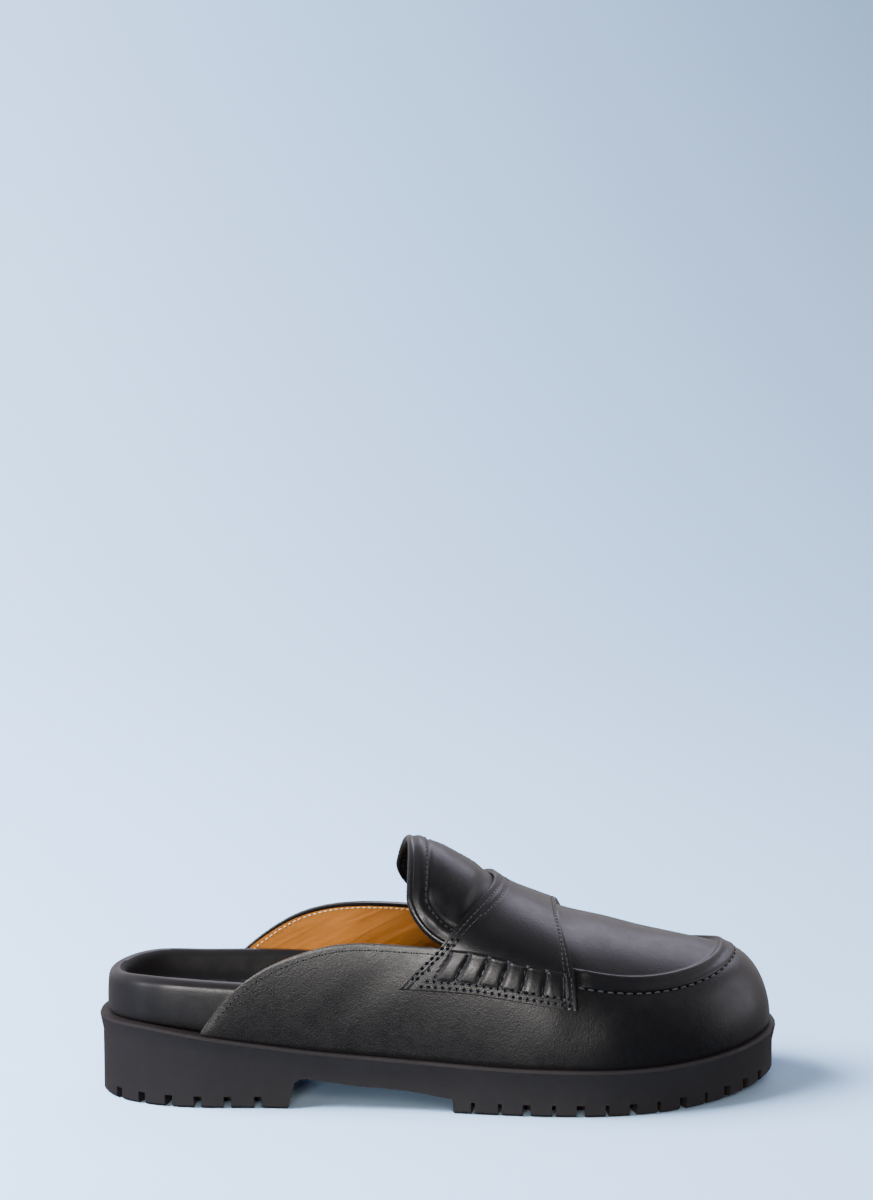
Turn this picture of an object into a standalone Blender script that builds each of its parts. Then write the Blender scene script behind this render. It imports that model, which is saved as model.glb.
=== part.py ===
"""A backless penny loafer for the right foot, standing empty on its lugged sole.

Metres, +Z up, +X towards the toe, +Y towards the inner side of the foot (medial), -Y towards the
outer side (lateral). The origin is on the floor, under the middle of the outsole's outline.
"""

import math
from collections import namedtuple

import bmesh
import bpy
import numpy as np
from mathutils import Vector

# Outsole, as it stands. LENGTH is that of an assumed men's EU 42, and sets the scale at which
# lengths and heights were read off the photo. BALL_WIDTH is an assumption, not measured, and
# HEEL_WIDTH follows from the heel's lower edge, which allows 72 to 80 mm. The tread underneath
# is a guess.
LENGTH = 0.300
BALL_WIDTH = 0.110
HEEL_WIDTH = 0.074
HEEL_HEIGHT = 0.036
BALL_HEIGHT = 0.021
TOE_TOP_HEIGHT = 0.0265
TOE_SPRING = 0.0055
LUG_DEPTH = 0.0055
HEEL_BLOCK_LENGTH = 0.0830
SHANK_LENGTH = 0.0720
SHANK_RISE = 0.0138
HEEL_ROUND_LENGTH = 0.055
TOE_ROUND_LENGTH = 0.088
HEEL_ROUND_POWER = 2.15
TOE_ROUND_POWER = 2.1
LIP_FLARE = 0.0014
LIP_HEIGHT = 0.008
EDGE_BEVEL = 0.0012
SPRING_START_SHARE = 0.783

# Lugs along the edge and bars in the middle of the tread
HEEL_LUG_PITCH = 0.0132
HEEL_NOTCHES = 6
HEEL_NOTCH_WIDTH = 0.0034
BALL_FIRST_LUG = 0.0082
BALL_LUG_PITCH = 0.0118
BALL_NOTCHES = 13
WIDE_NOTCH_WIDTH = 0.0036
NARROW_NOTCH_WIDTH = 0.0017
LONE_NARROW_NOTCHES = (0, 1, 3, 5, 7, 9)
NOTCH_LENGTH = 0.0115
EDGE_BAND = 0.018
TREAD_CHANNEL = 0.0045
TREAD_BAR = 0.0075
CUT_UNDER = 0.004

# Footbed, wrapped in leather, and the insole in it
RIM_HEIGHT = 0.0192
RIM_ROLL = 0.0042
BED_THICKNESS = 0.0080
BED_INSET_HEEL = 0.0032
BED_CLEARANCE = 0.0006
BED_RELIEF = 0.0006
BED_RELIEF_LENGTH = 0.030
HEEL_COVER_LENGTH = 0.018
HEEL_LEAN = 0.04
LEAN_START_LENGTH = 0.015
CUP_SLOPE = 0.006
INSOLE_THICKNESS = 0.0013

# Upper, tongue and saddle strap
TOPLINE_HEIGHT = 0.0735
TONGUE_HEIGHT = 0.1142
PLUG_FRONT_HEIGHT = 0.0640
UPPER_WALL = 0.0022
TONGUE_WALL = 0.0030
STRAP_WALL = 0.0024
FEATHER_INSET = 0.0025
RIDGE_WIDTH = 0.0085
RIDGE_HEIGHT = 0.0022
RIDGE_START = 0.0015
RIDGE_RAMP = 0.006
RIDGE_MOST_SHARE = 0.25
PLEATS = 6
PLEAT_RISE = 0.0008
PIPING_RADIUS = 0.0017
TONGUE_TWIST = 0.0030

# Meshes stay this far from their neighbours, and the strap a little more over the curved instep
GAP = 0.0003
STRAP_GAP = 0.00045

# Shares of LENGTH from the heel. middle: the centre line, share of BALL_WIDTH towards the medial
# side. spread: 0 is the heel's width and 1 the ball's.
Outline = namedtuple("Outline", "along middle spread")
OUTLINE = (
    Outline(0.00, 0.000, 0.00),
    Outline(0.22, 0.000, 0.00),
    Outline(0.33, -0.018, 0.00),
    Outline(0.42, -0.035, 0.04),
    Outline(0.53, -0.033, 0.38),
    Outline(0.62, -0.018, 0.73),
    Outline(0.71, 0.000, 0.95),
    Outline(0.80, 0.022, 1.00),
    Outline(0.90, 0.050, 1.00),
    Outline(1.00, 0.080, 1.00),
)

# The outsole's top edge: shares of the heel's and of the toe's rise over the ball.
TopEdge = namedtuple("TopEdge", "along heel toe")
TOP_EDGE = (
    TopEdge(0.000, 0.97, 0.00),
    TopEdge(0.053, 1.00, 0.00),
    TopEdge(0.140, 0.80, 0.00),
    TopEdge(0.227, 0.55, 0.00),
    TopEdge(0.333, 0.31, 0.00),
    TopEdge(0.477, 0.13, 0.00),
    TopEdge(0.600, 0.03, 0.00),
    TopEdge(0.700, 0.00, 0.00),
    TopEdge(0.800, 0.00, -0.05),
    TopEdge(0.870, 0.00, 0.12),
    TopEdge(0.940, 0.00, 0.48),
    TopEdge(1.000, 0.00, 1.00),
)

# The underside of the shank, from the heel's breast to the ball's first lugs: shares of
# SHANK_LENGTH and SHANK_RISE.
Shank = namedtuple("Shank", "along rise")
SHANK = (
    Shank(0.00, 0.00),
    Shank(0.04, 0.86),
    Shank(0.09, 1.00),
    Shank(0.38, 0.80),
    Shank(0.72, 0.68),
    Shank(1.00, 0.47),
)

# The footbed over the outsole's top: its rim, shares of RIM_HEIGHT, and its floor, share of
# BED_THICKNESS. The rim stands highest where it holds the arch.
Bed = namedtuple("Bed", "along lateral medial floor")
BED = (
    Bed(0.00, 1.00, 1.00, 0.90),
    Bed(0.14, 1.16, 1.16, 1.15),
    Bed(0.24, 1.29, 1.37, 1.60),
    Bed(0.34, 1.29, 1.49, 1.90),
    Bed(0.44, 1.15, 1.46, 1.98),
    Bed(0.50, 0.98, 1.37, 1.80),
    Bed(0.57, 0.84, 1.12, 1.45),
    Bed(0.64, 0.68, 0.78, 1.15),
    Bed(0.72, 0.60, 0.62, 1.00),
    Bed(1.00, 0.58, 0.58, 0.95),
)

# The upper's edge line: the topline of the quarters and, further on, the seam round the plug.
# inset: from the outsole's edge, share of BALL_WIDTH. lateral, medial: heights over the
# outsole's top, shares of the topline's. turn: degrees that the wall turns through on its way up.
# crown: 0 is a flat arch over the plug, 1 a half ellipse. spine: where the section meets the
# ridge line of the instep, share of LENGTH.
Edge = namedtuple("Edge", "along inset lateral medial turn crown spine")
EDGE = (
    Edge(0.150, 0.029, 0.04, 0.04, 30, 0.90, 0.250),
    Edge(0.187, 0.031, 0.34, 0.30, 34, 0.90, 0.290),
    Edge(0.227, 0.036, 0.57, 0.54, 38, 0.90, 0.320),
    Edge(0.280, 0.045, 0.76, 0.79, 42, 0.90, 0.350),
    Edge(0.350, 0.054, 0.91, 0.96, 46, 0.90, 0.385),
    Edge(0.440, 0.060, 0.945, 1.00, 50, 0.88, 0.455),
    Edge(0.500, 0.065, 0.95, 0.97, 52, 0.82, 0.545),
    Edge(0.540, 0.070, 0.94, 0.945, 54, 0.76, 0.600),
    Edge(0.600, 0.085, 0.87, 0.87, 57, 0.64, 0.632),
    Edge(0.657, 0.100, 0.79, 0.79, 59, 0.54, 0.656),
    Edge(0.700, 0.113, 0.735, 0.735, 61, 0.46, 0.675),
    Edge(0.750, 0.126, 0.685, 0.685, 64, 0.40, 0.702),
    Edge(0.800, 0.136, 0.650, 0.650, 67, 0.34, 0.730),
    Edge(0.870, 0.150, 0.630, 0.630, 72, 0.24, 0.768),
    Edge(0.930, 0.168, 0.635, 0.635, 78, 0.14, 0.808),
    Edge(0.967, 0.190, 0.640, 0.640, 82, 0.06, 0.836),
    Edge(1.000, 0.209, 0.638, 0.638, 86, 0.00, 0.858),
)

# The ridge line of tongue and plug: share of the way from PLUG_FRONT_HEIGHT to TONGUE_HEIGHT.
Spine = namedtuple("Spine", "along rise")
SPINE = (
    Spine(0.400, 1.010),
    Spine(0.457, 0.986),
    Spine(0.477, 0.972),
    Spine(0.510, 0.876),
    Spine(0.542, 0.763),
    Spine(0.570, 0.650),
    Spine(0.598, 0.530),
    Spine(0.633, 0.424),
    Spine(0.680, 0.305),
    Spine(0.730, 0.232),
    Spine(0.770, 0.166),
    Spine(0.810, 0.106),
    Spine(0.858, 0.045),
    Spine(0.900, 0.005),
)

# The strap's two long edges from its lower end to the top. level: 0 is the feather line, 1 the
# edge line and 2 the spine. Stations are shares of LENGTH.
StrapEdge = namedtuple("StrapEdge", "level rear front")
STRAP_EDGE = (
    StrapEdge(0.57, 0.436, 0.693),
    StrapEdge(0.80, 0.468, 0.690),
    StrapEdge(1.00, 0.493, 0.687),
    StrapEdge(1.30, 0.512, 0.685),
    StrapEdge(1.65, 0.520, 0.684),
    StrapEdge(2.00, 0.522, 0.684),
)
PLEAT_ZONE = (0.10, 0.93)
PLEAT_LEVELS = (0.67, 0.97)

# Where the plug ends under the strap and the tongue begins, and the tongue's other end
PLUG_REAR_SHARE = 0.535
FAN_FROM_SHARE = 0.70
FAN_WHOLE_SHARE = 0.90
TONGUE_TOP_SHARE = 0.444
TONGUE_CORNER_SHARE = 0.34
TONGUE_CORNER_POWER = 1.9
TONGUE_ABOVE_TOPLINE_SHARE = 0.03
PIPING_FROM_SHARE = 0.50

QUARTER_REAR_SHARE = 0.150
ROLL_STEPS = 6
CUP_STEPS = 3
HEEL_STATIONS = 14
SIDE_STATIONS = 16
TOE_STATIONS = 15
QUARTER_STATIONS = 16
STRAP_STATIONS = 6
UPPER_TOE_STATIONS = 14
WALL_ROWS = 6
PLUG_ROWS = 5
PIPING_SIDES = 8
SHARP_DEGREES = 55

# Name, linear colour and roughness
SOLE_RUBBER = ("black moulded rubber", (0.030, 0.029, 0.031), 0.62)
BED_LEATHER = ("black wrapped leather", (0.022, 0.021, 0.022), 0.38)
SOCK_LEATHER = ("black sock leather", (0.020, 0.019, 0.020), 0.50)
UPPER_LEATHER = ("black calf leather", (0.020, 0.019, 0.020), 0.36)

LATERAL, MEDIAL = -1, 1


def spline(rows, column):
    """A natural cubic curve through one column of a table, over its first column."""
    x = np.array([row[0] for row in rows], float)
    y = np.array([getattr(row, column) for row in rows], float)
    step = np.diff(x)
    slope = np.diff(y) / step
    size = len(x)
    matrix, right = np.eye(size), np.zeros(size)
    for i in range(1, size - 1):
        matrix[i, i - 1 : i + 2] = step[i - 1], 2 * (step[i - 1] + step[i]), step[i]
        right[i] = 6 * (slope[i] - slope[i - 1])
    bend = np.linalg.solve(matrix, right)

    def value(at):
        at = min(max(at, x[0]), x[-1])
        i = min(int(np.searchsorted(x, at, side="right")) - 1, size - 2)
        near, far = at - x[i], x[i + 1] - at
        return float(
            (bend[i] * far**3 + bend[i + 1] * near**3) / (6 * step[i])
            + (y[i] / step[i] - bend[i] * step[i] / 6) * far
            + (y[i + 1] / step[i] - bend[i + 1] * step[i] / 6) * near
        )

    return value


middle_share, spread_share = spline(OUTLINE, "middle"), spline(OUTLINE, "spread")
heel_rise, toe_rise = spline(TOP_EDGE, "heel"), spline(TOP_EDGE, "toe")
bed_rim = {LATERAL: spline(BED, "lateral"), MEDIAL: spline(BED, "medial")}
bed_floor = spline(BED, "floor")
edge_inset, edge_turn = spline(EDGE, "inset"), spline(EDGE, "turn")
edge_crown, edge_spine = spline(EDGE, "crown"), spline(EDGE, "spine")
edge_height = {LATERAL: spline(EDGE, "lateral"), MEDIAL: spline(EDGE, "medial")}
spine_rise = spline(SPINE, "rise")
strap_rear, strap_front = spline(STRAP_EDGE, "rear"), spline(STRAP_EDGE, "front")


def mix(a, b, share):
    return a + (b - a) * share


def clamp(value, low=0.0, high=1.0):
    return min(max(value, low), high)


def smooth(share):
    share = clamp(share)
    return share * share * (3 - 2 * share)


# The outline is walked by a station from 0 at the back of the heel to 1 at the tip of the toe.
HEEL_ROUND = HEEL_ROUND_LENGTH / LENGTH
TOE_ROUND = TOE_ROUND_LENGTH / LENGTH


def along_of(station):
    """Share of LENGTH at a station: evenly by angle round heel and toe, evenly by length between."""
    if station < HEEL_ROUND:
        angle = station / HEEL_ROUND * math.pi / 2
        return HEEL_ROUND * (1 - math.cos(angle) ** (2 / HEEL_ROUND_POWER))
    if station > 1 - TOE_ROUND:
        angle = (station - 1 + TOE_ROUND) / TOE_ROUND * math.pi / 2
        return 1 - TOE_ROUND + TOE_ROUND * math.sin(min(angle, math.pi / 2)) ** (2 / TOE_ROUND_POWER)
    return station


def station_of(along):
    """The station at a share of LENGTH behind the toe's round part."""
    if along >= HEEL_ROUND:
        return along
    angle = math.acos((1 - along / HEEL_ROUND) ** (HEEL_ROUND_POWER / 2))
    return HEEL_ROUND * angle / (math.pi / 2)


def rounding(station):
    """How much of the full width is left at a station, 0 at the two tips."""
    if station < HEEL_ROUND:
        return math.sin(station / HEEL_ROUND * math.pi / 2) ** (2 / HEEL_ROUND_POWER)
    if station > 1 - TOE_ROUND:
        angle = (station - 1 + TOE_ROUND) / TOE_ROUND * math.pi / 2
        return max(math.cos(angle), 0.0) ** (2 / TOE_ROUND_POWER)
    return 1.0


def x_of(along):
    return (along - 0.5) * LENGTH


def along_at(x):
    return clamp(x / LENGTH + 0.5)


def raw_outline(side, station):
    """The outsole's edge in plan, before it is centred on the origin."""
    along = along_of(station)
    half = mix(HEEL_WIDTH, BALL_WIDTH, spread_share(along)) / 2
    y = middle_share(along) * BALL_WIDTH + side * half * rounding(station)
    return Vector((x_of(along), y))


def ring_stations():
    """Stations of one side of the sole, heel to toe, both tips included."""
    heel = np.linspace(0, HEEL_ROUND, HEEL_STATIONS + 1)
    side = np.linspace(HEEL_ROUND, 1 - TOE_ROUND, SIDE_STATIONS + 1)[1:]
    toe = np.linspace(1 - TOE_ROUND, 1, TOE_STATIONS + 1)[1:]
    return [float(s) for s in (*heel, *side, *toe)]


RING = ring_stations()
CENTRE_Y = (
    max(raw_outline(MEDIAL, s).y for s in RING) + min(raw_outline(LATERAL, s).y for s in RING)
) / 2


def outline(side, station):
    point = raw_outline(side, station)
    return Vector((point.x, point.y - CENTRE_Y))


def middle_y(along):
    return middle_share(along) * BALL_WIDTH - CENTRE_Y


def outward(side, station):
    """The outline's outward normal. At the two tips it looks straight back or ahead."""
    if station <= 0:
        return Vector((-1, 0))
    if station >= 1:
        return Vector((1, 0))
    reach = 1e-3
    behind = outline(side, max(station - reach, 0))
    ahead = outline(side, min(station + reach, 1))
    run = (ahead - behind).normalized()
    return Vector((-run.y, run.x)) * side


def inset_point(side, station, inset):
    return outline(side, station) - outward(side, station) * inset


def sole_top(along):
    heel = (HEEL_HEIGHT - BALL_HEIGHT) * heel_rise(along)
    toe = (TOE_TOP_HEIGHT - BALL_HEIGHT) * toe_rise(along)
    return BALL_HEIGHT + heel + toe


def sole_bottom(along):
    return TOE_SPRING * (max(along - SPRING_START_SHARE, 0) / (1 - SPRING_START_SHARE)) ** 2


def spine_point(along):
    height = mix(PLUG_FRONT_HEIGHT, TONGUE_HEIGHT, spine_rise(along))
    return Vector((x_of(along), middle_y(along), height))


def spine_slope(along):
    """How steeply the ridge line falls towards the toe."""
    reach = 0.01
    return (spine_point(along - reach).z - spine_point(along + reach).z) / (2 * reach * LENGTH)


def edge_point(side, station):
    """On the topline or, further on, on the seam round the plug."""
    along = along_of(station)
    flat = inset_point(side, station, edge_inset(along) * BALL_WIDTH)
    rise = edge_height[side](along) * (TOPLINE_HEIGHT - BALL_HEIGHT)
    return Vector((flat.x, flat.y, sole_top(along) + rise))


def feather_point(side, station):
    flat = inset_point(side, station, FEATHER_INSET)
    return Vector((flat.x, flat.y, sole_top(along_of(station)) + GAP))


def wall_shares(station, level):
    """How far in and how far up the wall is at a level from 0, the feather line, to 1."""
    turn = math.radians(edge_turn(along_of(station)))
    inward = (1 - math.cos(level * turn)) / (1 - math.cos(turn))
    return inward, math.sin(level * turn) / math.sin(turn)


def upper_point(side, station, level):
    """The upper's outer skin. level runs 0 to 1 up the wall and 1 to 2 over plug or tongue.

    Sections meet the spine square to it, and round the toe they fan out from its front end. There
    each one climbs as the spine does, so that the plug stays smooth where they meet.
    """
    edge = edge_point(side, station)
    if level <= 1:
        inward, up = wall_shares(station, level)
        feather = feather_point(side, station)
        flat = feather.xy.lerp(edge.xy, inward)
        return Vector((flat.x, flat.y, mix(feather.z, edge.z, up)))
    along = along_of(station)
    spine = spine_point(edge_spine(along))
    share = level - 1
    angle = share * math.pi / 2
    crown = edge_crown(along)
    across = mix(share, 1 - math.cos(angle), crown)
    fan = smooth((along - FAN_FROM_SHARE) / (FAN_WHOLE_SHARE - FAN_FROM_SHARE))
    ahead = mix(1 - (1 - across) ** 2, across, fan)
    climb = fan * mix(1, math.pi / 2, crown) * spine_slope(edge_spine(along))
    straight = climb * (edge.x - spine.x) / (spine.z - edge.z)
    up = mix(math.sin(angle), share, straight)
    return Vector((mix(edge.x, spine.x, ahead), mix(edge.y, spine.y, across), mix(edge.z, spine.z, up)))


def upper_normal(side, station, level):
    """Outward normal of the upper's skin."""
    reach = 2e-3
    low, high = max(level - reach, 0), min(level + reach, 2)
    up = upper_point(side, station, high) - upper_point(side, station, low)
    back, front = max(station - reach, 0), min(station + reach, 1)
    run = upper_point(side, front, level) - upper_point(side, back, level)
    normal = run.cross(up) * -side
    return normal.normalized()


# Meshes


def new_object(name, mesh, collection):
    obj = bpy.data.objects.new(name, mesh)
    collection.objects.link(obj)
    return obj


def mesh_from(name, points, faces):
    mesh = bpy.data.meshes.new(name)
    mesh.from_pydata([tuple(p) for p in points], [], faces)
    form = bmesh.new()
    form.from_mesh(mesh)
    bmesh.ops.remove_doubles(form, verts=form.verts, dist=1e-6)
    bmesh.ops.recalc_face_normals(form, faces=form.faces)
    form.to_mesh(mesh)
    form.free()
    return mesh


def grid_faces(rows, columns):
    return [
        (r * columns + c, r * columns + c + 1, (r + 1) * columns + c + 1, (r + 1) * columns + c)
        for r in range(rows - 1)
        for c in range(columns - 1)
    ]


def grid_mesh(name, rows):
    """An open surface through rows of points of equal length."""
    points = [p for row in rows for p in row]
    return mesh_from(name, points, grid_faces(len(rows), len(rows[0])))


def ring_solid(name, rings):
    """A closed solid through rings that run heel, lateral side, toe, medial side. The first and
    last ring are closed by strips from side to side."""
    count = len(rings[0])
    tip = count // 2
    points = [p for ring in rings for p in ring]
    faces = []
    for r in range(len(rings) - 1):
        for c in range(count):
            after = (c + 1) % count
            low, high = r * count, (r + 1) * count
            faces.append((low + c, low + after, high + after, high + c))
    for start in (0, (len(rings) - 1) * count):
        faces.append((start, start + 1, start + count - 1))
        faces.append((start + tip, start + tip - 1, start + tip + 1))
        for c in range(1, tip - 1):
            faces.append((start + c, start + c + 1, start + count - c - 1, start + count - c))
    return mesh_from(name, points, faces)


def around(point):
    """One ring: point(side, station) down the lateral side and back up the medial one."""
    lateral = [point(LATERAL, s) for s in RING]
    medial = [point(MEDIAL, s) for s in reversed(RING[1:-1])]
    return lateral + medial


def tube_mesh(name, tubes):
    """Closed tubes in one mesh. Each is a list of rings of points."""
    points, faces = [], []
    for rings in tubes:
        count = len(rings[0])
        first = len(points)
        last = first + count * (len(rings) - 1)
        for ring in rings:
            points += ring
        for base in range(first, last, count):
            for c in range(count):
                after = (c + 1) % count
                faces.append((base + c, base + after, base + count + after, base + count + c))
        faces.append(tuple(range(first, first + count)))
        faces.append(tuple(range(last, last + count)))
    return mesh_from(name, points, faces)


def beam_ring(x, y0, y1, z0, z1):
    return [(x, y0, z0), (x, y1, z0), (x, y1, z1), (x, y0, z1)]


def thicken(obj, wall, outwards=False):
    """Gives an open surface its wall, to the inner side unless outwards is set."""
    solidify = obj.modifiers.new("wall", "SOLIDIFY")
    solidify.thickness = wall
    solidify.offset = 1 if outwards else -1
    solidify.use_even_offset = True
    solidify.use_rim = True
    return obj


def face_outwards(mesh):
    """Turns an open surface so that its normals look away from the middle of the foot."""
    score = 0.0
    centre = Vector((0, 0, BALL_HEIGHT))
    for polygon in mesh.polygons:
        score += polygon.area * polygon.normal.dot(polygon.center - centre)
    if score < 0:
        mesh.flip_normals()


def paint(obj, name, colour, roughness):
    material = bpy.data.materials.get(name) or bpy.data.materials.new(name)
    material.use_nodes = True
    shader = material.node_tree.nodes["Principled BSDF"]
    shader.inputs["Base Color"].default_value = (*colour, 1)
    shader.inputs["Roughness"].default_value = roughness
    shader.inputs["Metallic"].default_value = 0.0
    obj.data.materials.append(material)


def boolean(obj, other, operation):
    cut = obj.modifiers.new(other.name, "BOOLEAN")
    cut.object = other
    cut.operation = operation
    cut.solver = "EXACT"


# Outsole


def sole_body(parts):
    """The moulded unit before its tread is cut: a wall with a flared lip round its top."""

    def level(inset, height):
        def point(side, station):
            flat = inset_point(side, station, inset)
            return Vector((flat.x, flat.y, height(along_of(station))))

        return around(point)

    rings = [
        level(2 * EDGE_BEVEL + LIP_FLARE, sole_top),
        level(EDGE_BEVEL / 2, sole_top),
        level(0, lambda a: sole_top(a) - EDGE_BEVEL),
        level(LIP_FLARE, lambda a: sole_top(a) - LIP_HEIGHT),
        level(LIP_FLARE, lambda a: sole_bottom(a) + EDGE_BEVEL),
        level(LIP_FLARE + EDGE_BEVEL, sole_bottom),
    ]
    return new_object("outsole", ring_solid("outsole", rings), parts)


def half_width(along):
    """Half the outsole's width at a share of LENGTH, tips included."""
    half = mix(HEEL_WIDTH, BALL_WIDTH, spread_share(along)) / 2
    if along < HEEL_ROUND:
        gone = 1 - along / HEEL_ROUND
        return half * (1 - gone**HEEL_ROUND_POWER) ** (1 / HEEL_ROUND_POWER)
    if along > 1 - TOE_ROUND:
        gone = (along - 1 + TOE_ROUND) / TOE_ROUND
        return half * (1 - gone**TOE_ROUND_POWER) ** (1 / TOE_ROUND_POWER)
    return half


def tread_section(x, inset, low, high):
    """A beam section under the sole, as wide as the sole less an inset on each side."""
    along = along_at(x)
    half = half_width(along) - inset
    return beam_ring(x, middle_y(along) - half, middle_y(along) + half, low, high)


def shank_cutter(cutters):
    """Lifts the shank between the heel block and the ball's lugs."""
    rear = -LENGTH / 2 + HEEL_BLOCK_LENGTH
    beam = []
    for row in SHANK:
        x = rear + row.along * SHANK_LENGTH
        beam.append(beam_ring(x, -BALL_WIDTH, BALL_WIDTH, -CUT_UNDER, row.rise * SHANK_RISE))
    return new_object("shank_cutter", tube_mesh("shank_cutter", [beam]), cutters)


def tread_zones():
    """Start and end, along X, of the recess inside the edge lugs of heel and ball."""
    heel_front = -LENGTH / 2 + HEEL_BLOCK_LENGTH
    ball_rear = heel_front + SHANK_LENGTH
    return (
        (-LENGTH / 2 + 1.1 * EDGE_BAND, heel_front - 0.6 * EDGE_BAND, 0.8 * EDGE_BAND),
        (ball_rear + 0.6 * EDGE_BAND, LENGTH / 2 - 1.35 * EDGE_BAND, EDGE_BAND),
    )


def recess_cutter(cutters):
    beams = []
    for start, end, inset in tread_zones():
        beam = []
        for x in np.linspace(start, end, 9):
            root = sole_bottom(along_at(x)) + LUG_DEPTH
            beam.append(tread_section(float(x), inset, -CUT_UNDER, root))
        beams.append(beam)
    return new_object("recess_cutter", tube_mesh("recess_cutter", beams), cutters)


def tread_bars(cutters):
    """The lugs across the middle of the tread, joined to the sole at their root."""
    beams = []
    for (start, end, inset), pitch in zip(tread_zones(), (HEEL_LUG_PITCH, BALL_LUG_PITCH)):
        count = int((end - start - TREAD_CHANNEL) / pitch)
        margin = (end - start - (count - 1) * pitch) / 2
        for k in range(count):
            middle = start + margin + k * pitch
            beam = []
            for x in (middle - TREAD_BAR / 2, middle + TREAD_BAR / 2):
                ground = sole_bottom(along_at(x))
                root = ground + LUG_DEPTH + EDGE_BEVEL
                beam.append(tread_section(x, inset + TREAD_CHANNEL, ground, root))
            beams.append(beam)
    return new_object("tread_bars", tube_mesh("tread_bars", beams), cutters)


def edge_walk(side, start_along, towards_toe):
    """Stations and distances along the outsole's edge from a place, for setting out the lugs."""
    end = 1.0 if towards_toe else 0.0
    stations = np.linspace(start_along, end, 400)
    places = [outline(side, float(s)) for s in stations]
    steps = [0.0] + [(b - a).length for a, b in zip(places, places[1:])]
    return stations, np.cumsum(steps)


def notch_cutter(cutters):
    """The slots that part the edge lugs, set out by distance along the edge."""
    heel_front = along_at(-LENGTH / 2 + HEEL_BLOCK_LENGTH)
    ball_rear = along_at(-LENGTH / 2 + HEEL_BLOCK_LENGTH + SHANK_LENGTH)
    form = bmesh.new()
    for side in (LATERAL, MEDIAL):
        slots = []
        stations, run = edge_walk(side, heel_front, False)
        for k in range(HEEL_NOTCHES):
            place = (k + 1) * HEEL_LUG_PITCH
            slots.append((float(np.interp(place, run, stations)), HEEL_NOTCH_WIDTH))
        stations, run = edge_walk(side, ball_rear, True)
        for k in range(BALL_NOTCHES):
            place = BALL_FIRST_LUG + k * BALL_LUG_PITCH
            width = NARROW_NOTCH_WIDTH if k in LONE_NARROW_NOTCHES else WIDE_NOTCH_WIDTH
            if place < run[-1] - NARROW_NOTCH_WIDTH:
                slots.append((float(np.interp(place, run, stations)), width))
        for station, width in slots:
            add_slot(form, side, station, width)
    mesh = bpy.data.meshes.new("notch_cutter")
    bmesh.ops.recalc_face_normals(form, faces=form.faces)
    form.to_mesh(mesh)
    form.free()
    return new_object("notch_cutter", mesh, cutters)


def add_slot(form, side, station, width):
    """A box that runs in from the edge, with its roof at the root of the lugs."""
    normal = outward(side, station)
    reach = NOTCH_LENGTH + LIP_FLARE + CUT_UNDER
    inner = inset_point(side, station, NOTCH_LENGTH + LIP_FLARE)
    middle = inner + normal * reach / 2
    roof = sole_bottom(along_of(station)) + LUG_DEPTH * 0.97
    made = bmesh.ops.create_cube(form, size=1.0)
    tangent = Vector((-normal.y, normal.x))
    for vert in made["verts"]:
        place = middle + normal * (vert.co.x * reach) + tangent * (vert.co.y * width)
        vert.co = (place.x, place.y, roof if vert.co.z > 0 else -CUT_UNDER)


def make_outsole(parts, cutters):
    sole = sole_body(parts)
    boolean(sole, shank_cutter(cutters), "DIFFERENCE")
    boolean(sole, recess_cutter(cutters), "DIFFERENCE")
    boolean(sole, notch_cutter(cutters), "DIFFERENCE")
    boolean(sole, tread_bars(cutters), "UNION")
    paint(sole, *SOLE_RUBBER)
    return sole


# Footbed and insole


def bed_side_inset(side, station, height):
    """The footbed's outer face: inside the upper's wall, and free of it round the heel."""
    along = along_of(station)
    free_share = HEEL_COVER_LENGTH / LENGTH
    share = smooth((along - free_share) / (QUARTER_REAR_SHARE - free_share))
    past_rear = (along - QUARTER_REAR_SHARE) * LENGTH
    base = mix(BED_INSET_HEEL, FEATHER_INSET + UPPER_WALL + BED_CLEARANCE, share)
    base += BED_RELIEF * share * (1 - smooth(past_rear / BED_RELIEF_LENGTH))
    free_lean = HEEL_LEAN * max(height - sole_top(along), 0)
    if past_rear <= 0:
        return base + free_lean
    edge, feather = edge_point(side, station), feather_point(side, station)
    turn = math.radians(edge_turn(along))
    up = clamp((height - feather.z) / max(edge.z - feather.z, 1e-4))
    level = math.asin(clamp(up * math.sin(turn))) / turn
    inward, _ = wall_shares(station, level)
    lean = inward * (edge_inset(along) * BALL_WIDTH - FEATHER_INSET)
    return base + mix(free_lean, lean, smooth(past_rear / LEAN_START_LENGTH))


def bed_rim_height(side, along):
    return sole_top(along) + GAP + RIM_HEIGHT * bed_rim[side](along)


def bed_floor_height(along):
    return sole_top(along) + GAP + BED_THICKNESS * bed_floor(along)


def tip_mean(side, station, value):
    """At the tips both sides share one height."""
    if station in (0.0, 1.0):
        return (value(LATERAL) + value(MEDIAL)) / 2
    return value(side)


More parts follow.
